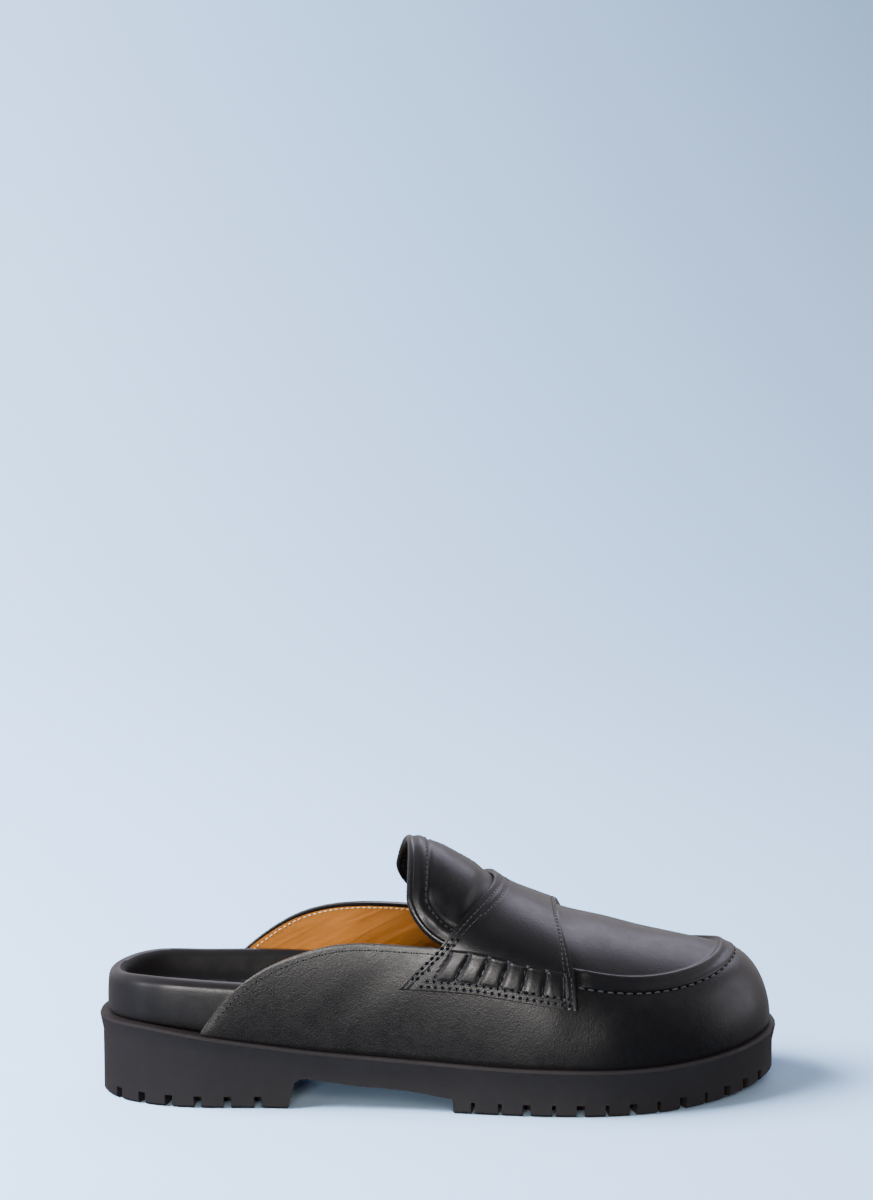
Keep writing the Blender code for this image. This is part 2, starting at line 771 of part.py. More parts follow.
def make_footbed(parts):
    """Cork and foam wrapped in leather: an upright band, a rolled rim and a cupped bed."""

    def ring(inset_share, height_of, extra=0.0):
        def point(side, station):
            along = along_of(station)
            top = tip_mean(side, station, lambda s: bed_rim_height(s, along))
            height = height_of(along, top)
            inset = bed_side_inset(side, station, min(height, top - RIM_ROLL))
            flat = inset_point(side, station, inset + inset_share * RIM_ROLL + extra)
            return Vector((flat.x, flat.y, height))

        return around(point)

    def bottom(along, _top):
        return sole_top(along) + GAP

    def floor(along, _top):
        return bed_floor_height(along)

    rings = [
        ring(0, bottom, 4 * EDGE_BEVEL),
        ring(0, bottom, EDGE_BEVEL),
        ring(0, lambda a, t: bottom(a, t) + EDGE_BEVEL),
    ]
    for step in range(ROLL_STEPS + 1):
        angle = math.pi * step / ROLL_STEPS
        drop = RIM_ROLL * (1 - math.sin(angle))
        rings.append(ring(1 - math.cos(angle), lambda a, t, drop=drop: t - drop))
    for step in range(1, CUP_STEPS + 1):
        angle = math.pi / 2 * step / CUP_STEPS
        reach = CUP_SLOPE * (1 - math.cos(angle))
        share = math.sin(angle)
        rings.append(ring(2, lambda a, t, share=share: mix(t - RIM_ROLL, floor(a, t), share), reach))
    bed = new_object("footbed", ring_solid("footbed", rings), parts)
    paint(bed, *BED_LEATHER)
    return bed


def make_insole(parts):
    """The leather sock that lies in the bed."""
    clear = 2 * RIM_ROLL + CUP_SLOPE + 2 * GAP

    def ring(extra, lift):
        def point(side, station):
            along = along_of(station)
            height = bed_floor_height(along) + GAP + lift
            inset = bed_side_inset(side, station, height) + clear + extra
            flat = inset_point(side, station, inset)
            return Vector((flat.x, flat.y, height))

        return around(point)

    rings = [ring(0, 0), ring(0, 0.6 * INSOLE_THICKNESS), ring(INSOLE_THICKNESS, INSOLE_THICKNESS)]
    sock = new_object("insole", ring_solid("insole", rings), parts)
    paint(sock, *SOCK_LEATHER)
    return sock


# Upper


def ridge_rows(side, station):
    """Section of the upper from the feather line to the spine, with the rolled ridge that
    stands along the seam ahead of the strap. Returns (level, rise) pairs."""
    along = along_of(station)
    wall = (edge_point(side, station) - feather_point(side, station)).length
    arch = (spine_point(edge_spine(along)) - edge_point(side, station)).length
    below = min(RIDGE_WIDTH / 2 / wall, RIDGE_MOST_SHARE)
    above = min(RIDGE_WIDTH / 2 / arch, RIDGE_MOST_SHARE)
    past_strap = (along - strap_front(1.0)) * LENGTH
    rise = RIDGE_HEIGHT * smooth((past_strap - RIDGE_START) / RIDGE_RAMP)
    rows = [(float(v), 0.0) for v in np.linspace(0, 1 - below, WALL_ROWS)]
    rows += [(1 - 0.5 * below, 0.8 * rise), (1.0, rise)]
    rows += [(1 + 0.5 * above, 0.8 * rise), (1 + above, 0.0)]
    rows += [(float(v), 0.0) for v in np.linspace(1 + above, 2, PLUG_ROWS + 1)[1:]]
    return rows


SEAM_ROW = WALL_ROWS + 1


def upper_section(side, station):
    points = []
    for level, rise in ridge_rows(side, station):
        point = upper_point(side, station, level)
        if rise:
            normal = upper_normal(side, station, level)
            if station == 1:
                normal = (normal + upper_normal(-side, station, level)).normalized()
            point = point + normal * rise
        points.append(point)
    points[-1] = spine_point(edge_spine(along_of(station)))
    return points


def upper_stations():
    ridge_start = strap_front(1.0) + RIDGE_START / LENGTH
    ridge_whole = ridge_start + RIDGE_RAMP / LENGTH
    quarter = np.linspace(station_of(QUARTER_REAR_SHARE), PLUG_REAR_SHARE, QUARTER_STATIONS)
    under_strap = np.linspace(PLUG_REAR_SHARE, ridge_start, STRAP_STATIONS)[1:]
    toe = np.linspace(ridge_whole, 1, UPPER_TOE_STATIONS)
    return [float(s) for s in (*quarter, *under_strap, *toe)]


def make_upper(parts):
    """Quarters, mudguard and plug as one hollow shell: open behind, at the topline and below."""
    stations = upper_stations()
    split = next(i for i, s in enumerate(stations) if abs(s - PLUG_REAR_SHARE) < 1e-9)
    points, faces = [], []
    for side in (LATERAL, MEDIAL):
        first = len(points)
        sections = [upper_section(side, s) for s in stations]
        count = len(sections[0])
        for section in sections:
            points += section
        for c in range(len(stations) - 1):
            top = count - 1 if c >= split else SEAM_ROW
            for r in range(top):
                low = first + c * count + r
                faces.append((low, low + 1, low + count + 1, low + count))
    mesh = mesh_from("upper", points, faces)
    drop_loose(mesh)
    face_outwards(mesh)
    shell = thicken(new_object("upper", mesh, parts), UPPER_WALL)
    paint(shell, *UPPER_LEATHER)
    return shell


def drop_loose(mesh):
    form = bmesh.new()
    form.from_mesh(mesh)
    bmesh.ops.delete(form, geom=[v for v in form.verts if not v.link_faces], context="VERTS")
    form.to_mesh(mesh)
    form.free()


# Tongue and its piping


def tongue_place(across, run):
    """Side, station and level on the tongue. across is -1 lateral to 1 medial, run 0 to 1 from
    the plug to the tongue's free end, which stands a little askew."""
    side = MEDIAL if across > 0 else LATERAL
    end = TONGUE_TOP_SHARE - across * TONGUE_TWIST / 2 / LENGTH
    station = mix(PLUG_REAR_SHARE - 3 * GAP / LENGTH, end, run)
    corner = TONGUE_CORNER_SHARE * (1 - (1 - run**TONGUE_CORNER_POWER) ** (1 / TONGUE_CORNER_POWER))
    lowest = corner + TONGUE_ABOVE_TOPLINE_SHARE
    level = 1 + mix(1.0, lowest, abs(across))
    return side, station, level


def tongue_point(across, run):
    return upper_point(*tongue_place(across, run))


TONGUE_ACROSS = [float(a) for a in np.linspace(-1, 1, 21)]
TONGUE_RUNS = [float(r) for r in np.sin(np.linspace(0, math.pi / 2, 12))]


def make_tongue(parts):
    """Padded flap that runs on from the plug under the strap and stands up over the instep."""
    mesh = grid_mesh("tongue", [[tongue_point(a, r) for a in TONGUE_ACROSS] for r in TONGUE_RUNS])
    face_outwards(mesh)
    flap = thicken(new_object("tongue", mesh, parts), TONGUE_WALL)
    paint(flap, *UPPER_LEATHER)
    return flap


def tongue_rim():
    """Places along the tongue's free edge: up the lateral side, over the top, down the medial."""
    sides = [r for r in TONGUE_RUNS if r >= PIPING_FROM_SHARE]
    places = [(-1.0, r) for r in sides]
    places += [(a, 1.0) for a in TONGUE_ACROSS[1:-1]]
    return places + [(1.0, r) for r in reversed(sides)]


def make_piping(parts):
    """The rolled leather bead along the tongue's edge."""
    places = [tongue_place(*place) for place in tongue_rim()]
    edge = [upper_point(*place) for place in places]
    rings = []
    for i, place in enumerate(places):
        tangent = edge[min(i + 1, len(edge) - 1)] - edge[max(i - 1, 0)]
        normal = upper_normal(*place)
        out = normal.cross(tangent).normalized()
        centre = edge[i] - normal * TONGUE_WALL / 2 + out * (PIPING_RADIUS + GAP)
        turns = [math.tau * k / PIPING_SIDES for k in range(PIPING_SIDES)]
        rings.append([centre + (out * math.cos(t) + normal * math.sin(t)) * PIPING_RADIUS for t in turns])
    bead = new_object("tongue_piping", tube_mesh("tongue_piping", [rings]), parts)
    paint(bead, *UPPER_LEATHER)
    return bead


# Saddle strap


def pleat_rise(share, level):
    """The puckers that the thick thread raises on the strap's ends."""
    start, end = PLEAT_ZONE
    low, high = PLEAT_LEVELS
    if not (start < share < end and low < level < high):
        return 0.0
    wave = abs(math.sin((share - start) / (end - start) * PLEATS * math.pi))
    return PLEAT_RISE * wave ** 0.7 * math.sin((level - low) / (high - low) * math.pi) ** 0.7


def strap_columns():
    start, end = PLEAT_ZONE
    inside = np.linspace(start, end, 2 * PLEATS + 1)
    return [0.0, start / 2, *[float(c) for c in inside], (end + 1) / 2, 1.0]


def strap_levels():
    low, high = PLEAT_LEVELS
    pleated = np.linspace(low, high, 4)
    over = np.linspace(high, 2, 8)[1:]
    return [STRAP_EDGE[0].level, *[float(v) for v in (*pleated, *over)]]


def strap_point(side, share, level):
    """The strap's inner face at a share from its rear to its front edge."""
    station = mix(strap_rear(level), strap_front(level), share)
    place = (side, station, level)
    lift = STRAP_GAP + pleat_rise(share, level)
    return upper_point(*place) + upper_normal(*place) * lift


def make_strap(parts):
    rows = [[strap_point(LATERAL, c, v) for c in strap_columns()] for v in strap_levels()]
    rows += [[strap_point(MEDIAL, c, v) for c in strap_columns()] for v in reversed(strap_levels()[:-1])]
    mesh = grid_mesh("saddle_strap", rows)
    face_outwards(mesh)
    strap = thicken(new_object("saddle_strap", mesh, parts), STRAP_WALL, outwards=True)
    paint(strap, *UPPER_LEATHER)
    return strap


def main():
    for obj in list(bpy.data.objects):
        bpy.data.objects.remove(obj)
    parts = bpy.data.collections.new("loafer")
    cutters = bpy.data.collections.new("cutters")
    for collection in (parts, cutters):
        bpy.context.scene.collection.children.link(collection)
    make_outsole(parts, cutters)
    make_footbed(parts)
    make_insole(parts)
    make_upper(parts)
    make_tongue(parts)
    make_piping(parts)
    make_strap(parts)
    for cutter in cutters.objects:
        cutter.hide_render = True
        cutter.display_type = "WIRE"
    for obj in parts.objects:
        obj.data.shade_smooth()
        obj.data.set_sharp_from_angle(angle=math.radians(SHARP_DEGREES))


main()
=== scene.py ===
"""The looks of the backless loafer: leather, thread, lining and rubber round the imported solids.

Metres, +Z up, +X towards the toe, +Y towards the inner side of the foot (medial), -Y towards the
outer side (lateral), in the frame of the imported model.
"""

import math
from collections import namedtuple
from functools import lru_cache

import bpy
import numpy as np
from mathutils import Matrix, Vector
from mathutils.bvhtree import BVHTree


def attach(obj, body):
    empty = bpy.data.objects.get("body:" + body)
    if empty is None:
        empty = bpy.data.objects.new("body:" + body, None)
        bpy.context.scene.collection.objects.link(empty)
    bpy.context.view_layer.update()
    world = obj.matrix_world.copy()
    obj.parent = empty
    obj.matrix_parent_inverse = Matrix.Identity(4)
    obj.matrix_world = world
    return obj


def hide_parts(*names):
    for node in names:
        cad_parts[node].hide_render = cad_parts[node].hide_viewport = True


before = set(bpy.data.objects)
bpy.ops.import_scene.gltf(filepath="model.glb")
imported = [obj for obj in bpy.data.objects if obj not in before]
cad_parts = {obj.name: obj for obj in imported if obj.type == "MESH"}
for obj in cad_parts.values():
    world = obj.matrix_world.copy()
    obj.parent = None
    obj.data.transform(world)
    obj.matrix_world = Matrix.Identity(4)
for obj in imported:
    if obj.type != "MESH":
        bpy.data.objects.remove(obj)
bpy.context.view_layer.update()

MM = 0.001
LATERAL, MEDIAL = -1, 1

# The last and its pieces, in the sizes of the solids
LENGTH = 0.300
BALL_WIDTH = 0.110
HEEL_WIDTH = 0.074
HEEL_HEIGHT = 0.036
BALL_HEIGHT = 0.021
TOE_TOP_HEIGHT = 0.0265
HEEL_ROUND_LENGTH = 0.055
TOE_ROUND_LENGTH = 0.088
HEEL_ROUND_POWER = 2.15
TOE_ROUND_POWER = 2.1
TOPLINE_HEIGHT = 0.0735
TONGUE_HEIGHT = 0.1142
PLUG_FRONT_HEIGHT = 0.0640
FEATHER_INSET = 0.0025
CENTRE_Y = 0.00065888
GAP = 0.0003
STRAP_GAP = 0.00045
UPPER_WALL = 0.0022
TONGUE_WALL = 0.0030
STRAP_WALL = 0.0024
RIDGE_START = 0.0015
RIDGE_RAMP = 0.006
TONGUE_TWIST = 0.0030
TONGUE_TOP_SHARE = 0.444
TONGUE_CORNER_SHARE = 0.34
TONGUE_CORNER_POWER = 1.9
TONGUE_ABOVE_TOPLINE_SHARE = 0.03
PLUG_REAR_SHARE = 0.535
QUARTER_REAR_SHARE = 0.150
FAN_FROM_SHARE = 0.70
FAN_WHOLE_SHARE = 0.90

# Shares of LENGTH from the heel. middle: the centre line, share of BALL_WIDTH towards the medial
# side. spread: 0 is the heel's width and 1 the ball's.
Outline = namedtuple("Outline", "along middle spread")
OUTLINE = (
    Outline(0.00, 0.000, 0.00),
    Outline(0.22, 0.000, 0.00),
    Outline(0.33, -0.018, 0.00),
    Outline(0.42, -0.035, 0.04),
    Outline(0.53, -0.033, 0.38),
    Outline(0.62, -0.018, 0.73),
    Outline(0.71, 0.000, 0.95),
    Outline(0.80, 0.022, 1.00),
    Outline(0.90, 0.050, 1.00),
    Outline(1.00, 0.080, 1.00),
)

# The outsole's top edge: shares of the heel's and of the toe's rise over the ball.
TopEdge = namedtuple("TopEdge", "along heel toe")
TOP_EDGE = (
    TopEdge(0.000, 0.97, 0.00),
    TopEdge(0.053, 1.00, 0.00),
    TopEdge(0.140, 0.80, 0.00),
    TopEdge(0.227, 0.55, 0.00),
    TopEdge(0.333, 0.31, 0.00),
    TopEdge(0.477, 0.13, 0.00),
    TopEdge(0.600, 0.03, 0.00),
    TopEdge(0.700, 0.00, 0.00),
    TopEdge(0.800, 0.00, -0.05),
    TopEdge(0.870, 0.00, 0.12),
    TopEdge(0.940, 0.00, 0.48),
    TopEdge(1.000, 0.00, 1.00),
)

# The upper's edge line: the topline of the quarters and, further on, the seam round the plug.
# inset: from the outsole's edge, share of BALL_WIDTH. lateral, medial: heights over the
# outsole's top, shares of the topline's. turn: degrees that the wall turns through on its way up.
# crown: 0 is a flat arch over the plug, 1 a half ellipse. spine: where the section meets the
# ridge line of the instep, share of LENGTH.
Edge = namedtuple("Edge", "along inset lateral medial turn crown spine")
EDGE = (
    Edge(0.150, 0.029, 0.04, 0.04, 30, 0.90, 0.250),
    Edge(0.187, 0.031, 0.34, 0.30, 34, 0.90, 0.290),
    Edge(0.227, 0.036, 0.57, 0.54, 38, 0.90, 0.320),
    Edge(0.280, 0.045, 0.76, 0.79, 42, 0.90, 0.350),
    Edge(0.350, 0.054, 0.91, 0.96, 46, 0.90, 0.385),
    Edge(0.440, 0.060, 0.945, 1.00, 50, 0.88, 0.455),
    Edge(0.500, 0.065, 0.95, 0.97, 52, 0.82, 0.545),
    Edge(0.540, 0.070, 0.94, 0.945, 54, 0.76, 0.600),
    Edge(0.600, 0.085, 0.87, 0.87, 57, 0.64, 0.632),
    Edge(0.657, 0.100, 0.79, 0.79, 59, 0.54, 0.656),
    Edge(0.700, 0.113, 0.735, 0.735, 61, 0.46, 0.675),
    Edge(0.750, 0.126, 0.685, 0.685, 64, 0.40, 0.702),
    Edge(0.800, 0.136, 0.650, 0.650, 67, 0.34, 0.730),
    Edge(0.870, 0.150, 0.630, 0.630, 72, 0.24, 0.768),
    Edge(0.930, 0.168, 0.635, 0.635, 78, 0.14, 0.808),
    Edge(0.967, 0.190, 0.640, 0.640, 82, 0.06, 0.836),
    Edge(1.000, 0.209, 0.638, 0.638, 86, 0.00, 0.858),
)

# The ridge line of tongue and plug: share of the way from PLUG_FRONT_HEIGHT to TONGUE_HEIGHT.
Spine = namedtuple("Spine", "along rise")
SPINE = (
    Spine(0.400, 1.010),
    Spine(0.457, 0.986),
    Spine(0.477, 0.972),
    Spine(0.510, 0.876),
    Spine(0.542, 0.763),
    Spine(0.570, 0.650),
    Spine(0.598, 0.530),
    Spine(0.633, 0.424),
    Spine(0.680, 0.305),
    Spine(0.730, 0.232),
    Spine(0.770, 0.166),
    Spine(0.810, 0.106),
    Spine(0.858, 0.045),
    Spine(0.900, 0.005),
)

# The strap's two long edges from its lower end to the top. level: 0 is the feather line, 1 the
# edge line and 2 the spine. Stations are shares of LENGTH.
StrapEdge = namedtuple("StrapEdge", "level rear front")
STRAP_EDGE = (
    StrapEdge(0.57, 0.436, 0.693),
    StrapEdge(0.80, 0.468, 0.690),
    StrapEdge(1.00, 0.493, 0.687),
    StrapEdge(1.30, 0.512, 0.685),
    StrapEdge(1.65, 0.520, 0.684),
    StrapEdge(2.00, 0.522, 0.684),
)


def spline(rows, column):
    """A natural cubic curve through one column of a table, over its first column."""
    x = np.array([row[0] for row in rows], float)
    y = np.array([getattr(row, column) for row in rows], float)
    step = np.diff(x)
    slope = np.diff(y) / step
    size = len(x)
    matrix, right = np.eye(size), np.zeros(size)
    for i in range(1, size - 1):
        matrix[i, i - 1 : i + 2] = step[i - 1], 2 * (step[i - 1] + step[i]), step[i]
        right[i] = 6 * (slope[i] - slope[i - 1])
    bend = np.linalg.solve(matrix, right)

    @lru_cache(maxsize=None)
    def value(at):
        at = min(max(at, x[0]), x[-1])
        i = min(int(np.searchsorted(x, at, side="right")) - 1, size - 2)
        near, far = at - x[i], x[i + 1] - at
        return float(
            (bend[i] * far**3 + bend[i + 1] * near**3) / (6 * step[i])
            + (y[i] / step[i] - bend[i] * step[i] / 6) * far
            + (y[i + 1] / step[i] - bend[i + 1] * step[i] / 6) * near
        )

    return value


middle_share, spread_share = spline(OUTLINE, "middle"), spline(OUTLINE, "spread")
heel_rise, toe_rise = spline(TOP_EDGE, "heel"), spline(TOP_EDGE, "toe")
edge_inset, edge_turn = spline(EDGE, "inset"), spline(EDGE, "turn")
edge_crown, edge_spine = spline(EDGE, "crown"), spline(EDGE, "spine")
edge_height = {LATERAL: spline(EDGE, "lateral"), MEDIAL: spline(EDGE, "medial")}
spine_rise = spline(SPINE, "rise")
strap_rear, strap_front = spline(STRAP_EDGE, "rear"), spline(STRAP_EDGE, "front")


def mix(a, b, share):
    return a + (b - a) * share


def clamp(value, low=0.0, high=1.0):
    return min(max(value, low), high)


def smooth(share):
    share = clamp(share)
    return share * share * (3 - 2 * share)


# The outline is walked by a station from 0 at the back of the heel to 1 at the tip of the toe.
HEEL_ROUND = HEEL_ROUND_LENGTH / LENGTH
TOE_ROUND = TOE_ROUND_LENGTH / LENGTH


def along_of(station):
    """Share of LENGTH at a station: evenly by angle round heel and toe, evenly by length between."""
    if station < HEEL_ROUND:
        angle = station / HEEL_ROUND * math.pi / 2
        return HEEL_ROUND * (1 - math.cos(angle) ** (2 / HEEL_ROUND_POWER))
    if station > 1 - TOE_ROUND:
        angle = (station - 1 + TOE_ROUND) / TOE_ROUND * math.pi / 2
        return 1 - TOE_ROUND + TOE_ROUND * math.sin(min(angle, math.pi / 2)) ** (2 / TOE_ROUND_POWER)
    return station


def station_of(along):
    """The station at a share of LENGTH behind the toe's round part."""
    if along >= HEEL_ROUND:
        return along
    angle = math.acos((1 - along / HEEL_ROUND) ** (HEEL_ROUND_POWER / 2))
    return HEEL_ROUND * angle / (math.pi / 2)


def rounding(station):
    """How much of the full width is left at a station, 0 at the two tips."""
    if station < HEEL_ROUND:
        return math.sin(station / HEEL_ROUND * math.pi / 2) ** (2 / HEEL_ROUND_POWER)
    if station > 1 - TOE_ROUND:
        angle = (station - 1 + TOE_ROUND) / TOE_ROUND * math.pi / 2
        return max(math.cos(angle), 0.0) ** (2 / TOE_ROUND_POWER)
    return 1.0


def x_of(along):
    return (along - 0.5) * LENGTH


def outline(side, station):
    """The outsole's edge in plan."""
    along = along_of(station)
    half = mix(HEEL_WIDTH, BALL_WIDTH, spread_share(along)) / 2
    return Vector((x_of(along), middle_y(along) + side * half * rounding(station)))


def middle_y(along):
    return middle_share(along) * BALL_WIDTH - CENTRE_Y


@lru_cache(maxsize=None)
def outward(side, station):
    """The outline's outward normal. At the two tips it looks straight back or ahead."""
    if station <= 0:
        return Vector((-1, 0))
    if station >= 1:
        return Vector((1, 0))
    reach = 1e-3
    behind = outline(side, max(station - reach, 0))
    ahead = outline(side, min(station + reach, 1))
    run = (ahead - behind).normalized()
    return Vector((-run.y, run.x)) * side


def inset_point(side, station, inset):
    return outline(side, station) - outward(side, station) * inset


def sole_top(along):
    heel = (HEEL_HEIGHT - BALL_HEIGHT) * heel_rise(along)
    toe = (TOE_TOP_HEIGHT - BALL_HEIGHT) * toe_rise(along)
    return BALL_HEIGHT + heel + toe


def spine_point(along):
    height = mix(PLUG_FRONT_HEIGHT, TONGUE_HEIGHT, spine_rise(along))
    return Vector((x_of(along), middle_y(along), height))


@lru_cache(maxsize=None)
def spine_slope(along):
    """How steeply the ridge line falls towards the toe."""
    reach = 0.01
    return (spine_point(along - reach).z - spine_point(along + reach).z) / (2 * reach * LENGTH)


@lru_cache(maxsize=None)
def edge_point(side, station):
    """On the topline or, further on, on the seam round the plug."""
    along = along_of(station)
    flat = inset_point(side, station, edge_inset(along) * BALL_WIDTH)
    rise = edge_height[side](along) * (TOPLINE_HEIGHT - BALL_HEIGHT)
    return Vector((flat.x, flat.y, sole_top(along) + rise))


@lru_cache(maxsize=None)
def feather_point(side, station):
    flat = inset_point(side, station, FEATHER_INSET)
    return Vector((flat.x, flat.y, sole_top(along_of(station)) + GAP))


def upper_point(side, station, level):
    """The upper's outer skin. level runs 0 to 1 up the wall and 1 to 2 over plug or tongue."""
    edge = edge_point(side, station)
    along = along_of(station)
    if level <= 1:
        turn = math.radians(edge_turn(along))
        inward = (1 - math.cos(level * turn)) / (1 - math.cos(turn))
        up = math.sin(level * turn) / math.sin(turn)
        feather = feather_point(side, station)
        flat = feather.xy.lerp(edge.xy, inward)
        return Vector((flat.x, flat.y, mix(feather.z, edge.z, up)))
    spine = spine_point(edge_spine(along))
    share = level - 1
    angle = share * math.pi / 2
    crown = edge_crown(along)
    across = mix(share, 1 - math.cos(angle), crown)
    fan = smooth((along - FAN_FROM_SHARE) / (FAN_WHOLE_SHARE - FAN_FROM_SHARE))
    ahead = mix(1 - (1 - across) ** 2, across, fan)
    climb = fan * mix(1, math.pi / 2, crown) * spine_slope(edge_spine(along))
    straight = climb * (edge.x - spine.x) / (spine.z - edge.z)
    up = mix(math.sin(angle), share, straight)
    return Vector((mix(edge.x, spine.x, ahead), mix(edge.y, spine.y, across), mix(edge.z, spine.z, up)))


def upper_normal(side, station, level):
    """Outward normal of the upper's skin."""
    reach = 2e-3
    low, high = max(level - reach, 0), min(level + reach, 2)
    up = upper_point(side, station, high) - upper_point(side, station, low)
    back, front = max(station - reach, 0), min(station + reach, 1)
    run = upper_point(side, front, level) - upper_point(side, back, level)
    normal = run.cross(up) * -side
    return normal.normalized()


# Colours and materials


def linear(code):
    """An sRGB hex colour as linear RGBA."""
    channels = [int(code[i : i + 2], 16) / 255 for i in (1, 3, 5)]
    return (*[c / 12.92 if c <= 0.04045 else ((c + 0.055) / 1.055) ** 2.4 for c in channels], 1.0)


def add(tree, kind, inputs=None, **settings):
    """Adds a shader node with its settings. inputs gives each socket a value or a link."""
    made = tree.nodes.new("ShaderNode" + kind)
    for key, value in settings.items():
        setattr(made, key, value)
    for key, value in (inputs or {}).items():
        if isinstance(value, bpy.types.NodeSocket):
            tree.links.new(value, made.inputs[key])
        else:
            made.inputs[key].default_value = value
    return made


def new_material(name, **sockets):
    """A material with its Principled shader's own numbers set."""
    made = bpy.data.materials.new(name)
    made.use_nodes = True
    shader = made.node_tree.nodes["Principled BSDF"]
    for key, value in sockets.items():
        shader.inputs[key.replace("_", " ")].default_value = value
    return made, made.node_tree, shader


def two_tones(tree, where, size, dark, light):
    """A cloudy mix of two colours. size is the clouds' width in metres."""
    clouds = add(tree, "TexNoise", {"Vector": where, "Scale": 1 / size, "Detail": 3.0})
    return add(tree, "Mix", {0: clouds.outputs["Fac"], 6: dark, 7: light}, data_type="RGBA").outputs[2]


def relief(tree, *layers):
    """Bumps laid one over another. A layer is a height and its real depth in metres."""
    under = {}
    for height, depth in layers:
        normal = add(tree, "Bump", {"Height": height, "Distance": depth, **under}).outputs["Normal"]
        under = {"Normal": normal}
    return normal


# The middle of a noise's range, where most of it lies
MIDDLE_OF_NOISE = {"From Min": 0.3, "From Max": 0.7}

# Leather: clouds of tone, patches of polish and what they change the roughness by, swells of the
# hide, and the long slanted folds of a loose lining
CLOUD_WIDTH = 14 * MM
POLISH_WIDTH = 5 * MM
POLISHED, RUBBED = -0.03, 0.06
SWELL_WIDTH = 16 * MM
FOLD_SLANT = math.radians(-27)
FOLD_SIZES = (40 * MM, 30 * MM, 4.5 * MM)


def leather(name, dark, light, roughness, coat, grain, depth, wave_depth=0.0, fold_depth=0.0):
    """Full-grain leather: pores a grain apart, soft swells in the hide and an uneven polish."""
    made, tree, shader = new_material(name, Coat_Weight=coat, Coat_Roughness=0.28)
    where = add(tree, "TexCoord").outputs["Object"]
    tone = two_tones(tree, where, CLOUD_WIDTH, linear(dark), linear(light))
    tree.links.new(tone, shader.inputs["Base Color"])
    patches = add(tree, "TexNoise", {"Vector": where, "Scale": 1 / POLISH_WIDTH, "Detail": 4.0})
    polish = {"Value": patches.outputs["Fac"], "To Min": roughness + POLISHED, "To Max": roughness + RUBBED}
    uneven = add(tree, "MapRange", {**MIDDLE_OF_NOISE, **polish})
    tree.links.new(uneven.outputs["Result"], shader.inputs["Roughness"])
    pores = add(tree, "TexVoronoi", {"Vector": where, "Scale": 1 / grain}, feature="SMOOTH_F1")
    hide = add(tree, "TexNoise", {"Vector": where, "Scale": 1 / (2.6 * grain), "Detail": 2.0})
    layers = [(pores.outputs["Distance"], depth), (hide.outputs["Fac"], 1.2 * depth)]
    if wave_depth:
        swells = add(tree, "TexNoise", {"Vector": where, "Scale": 1 / SWELL_WIDTH, "Detail": 1.0})
        layers.append((swells.outputs["Fac"], wave_depth))
    if fold_depth:
        slanted = {"Vector": where, "Rotation": (0, FOLD_SLANT, 0), "Scale": FOLD_SIZES}
        along = add(tree, "Mapping", slanted, vector_type="TEXTURE").outputs["Vector"]
        folds = add(tree, "TexNoise", {"Vector": along, "Scale": 1.0, "Detail": 1.0, "Distortion": 0.5})
        layers.append((folds.outputs["Fac"], fold_depth))
    tree.links.new(relief(tree, *layers), shader.inputs["Normal"])
    return made


# Smooth black calf, finished with a soft gloss that spreads highlights into a fine sparkle.
calf_leather = leather(
    "black full-grain calf leather", "#0a090a", "#0f0e0f",
    roughness=0.35, coat=0.15, grain=0.6 * MM, depth=0.045 * MM,
)
# The same calf rolled tight over a cord or a rim, where it is polished.
rolled_leather = leather(
    "black rolled and polished calf leather", "#0b0b0c", "#101011",
    roughness=0.28, coat=0.3, grain=0.8 * MM, depth=0.02 * MM,
)
# Wrapping leather on the cork bed, a little flatter in gloss.
wrap_leather = leather(
    "black wrapping leather on cork", "#131112", "#1a1818",
    roughness=0.35, coat=0.2, grain=0.8 * MM, depth=0.02 * MM, wave_depth=0.1 * MM,
)
# The same leather inside the bed's rim, rubbed dull, and with its colour painted darker as the shade inside
# the rim.
shaded_bed_leather = leather(
    "black dull wrapping leather inside the rim", "#0b0b0b", "#100f10",
    roughness=0.66, coat=0.0, grain=0.8 * MM, depth=0.03 * MM,
)
# Sock leather, brushed matte.
sock_leather = leather(
    "black matte sock leather", "#0c0c0d", "#111112",
    roughness=0.50, coat=0.0, grain=0.9 * MM, depth=0.03 * MM,
)
# Vegetable-tanned lining hide, undyed and unfinished, so it is matte and loosely wrinkled.
lining_leather = leather(
    "tan vegetable-tanned lining leather", "#a05f1c", "#b8742a",
    roughness=0.62, coat=0.0, grain=0.7 * MM, depth=0.03 * MM, wave_depth=0.5 * MM, fold_depth=0.45 * MM,
)


def make_edge_paint():
    """Black edge paint: a burnished film on cut leather, smooth and a little shiny."""
    made, tree, shader = new_material("black burnished edge paint", Roughness=0.30, Coat_Weight=0.4)
    shader.inputs["Base Color"].default_value = linear("#0c0c0d")
    where = add(tree, "TexCoord").outputs["Object"]
    fibres = add(tree, "TexNoise", {"Vector": where, "Scale": 1 / (0.9 * MM), "Detail": 2.0})
    tree.links.new(relief(tree, (fibres.outputs["Fac"], 0.04 * MM)), shader.inputs["Normal"])
    return made


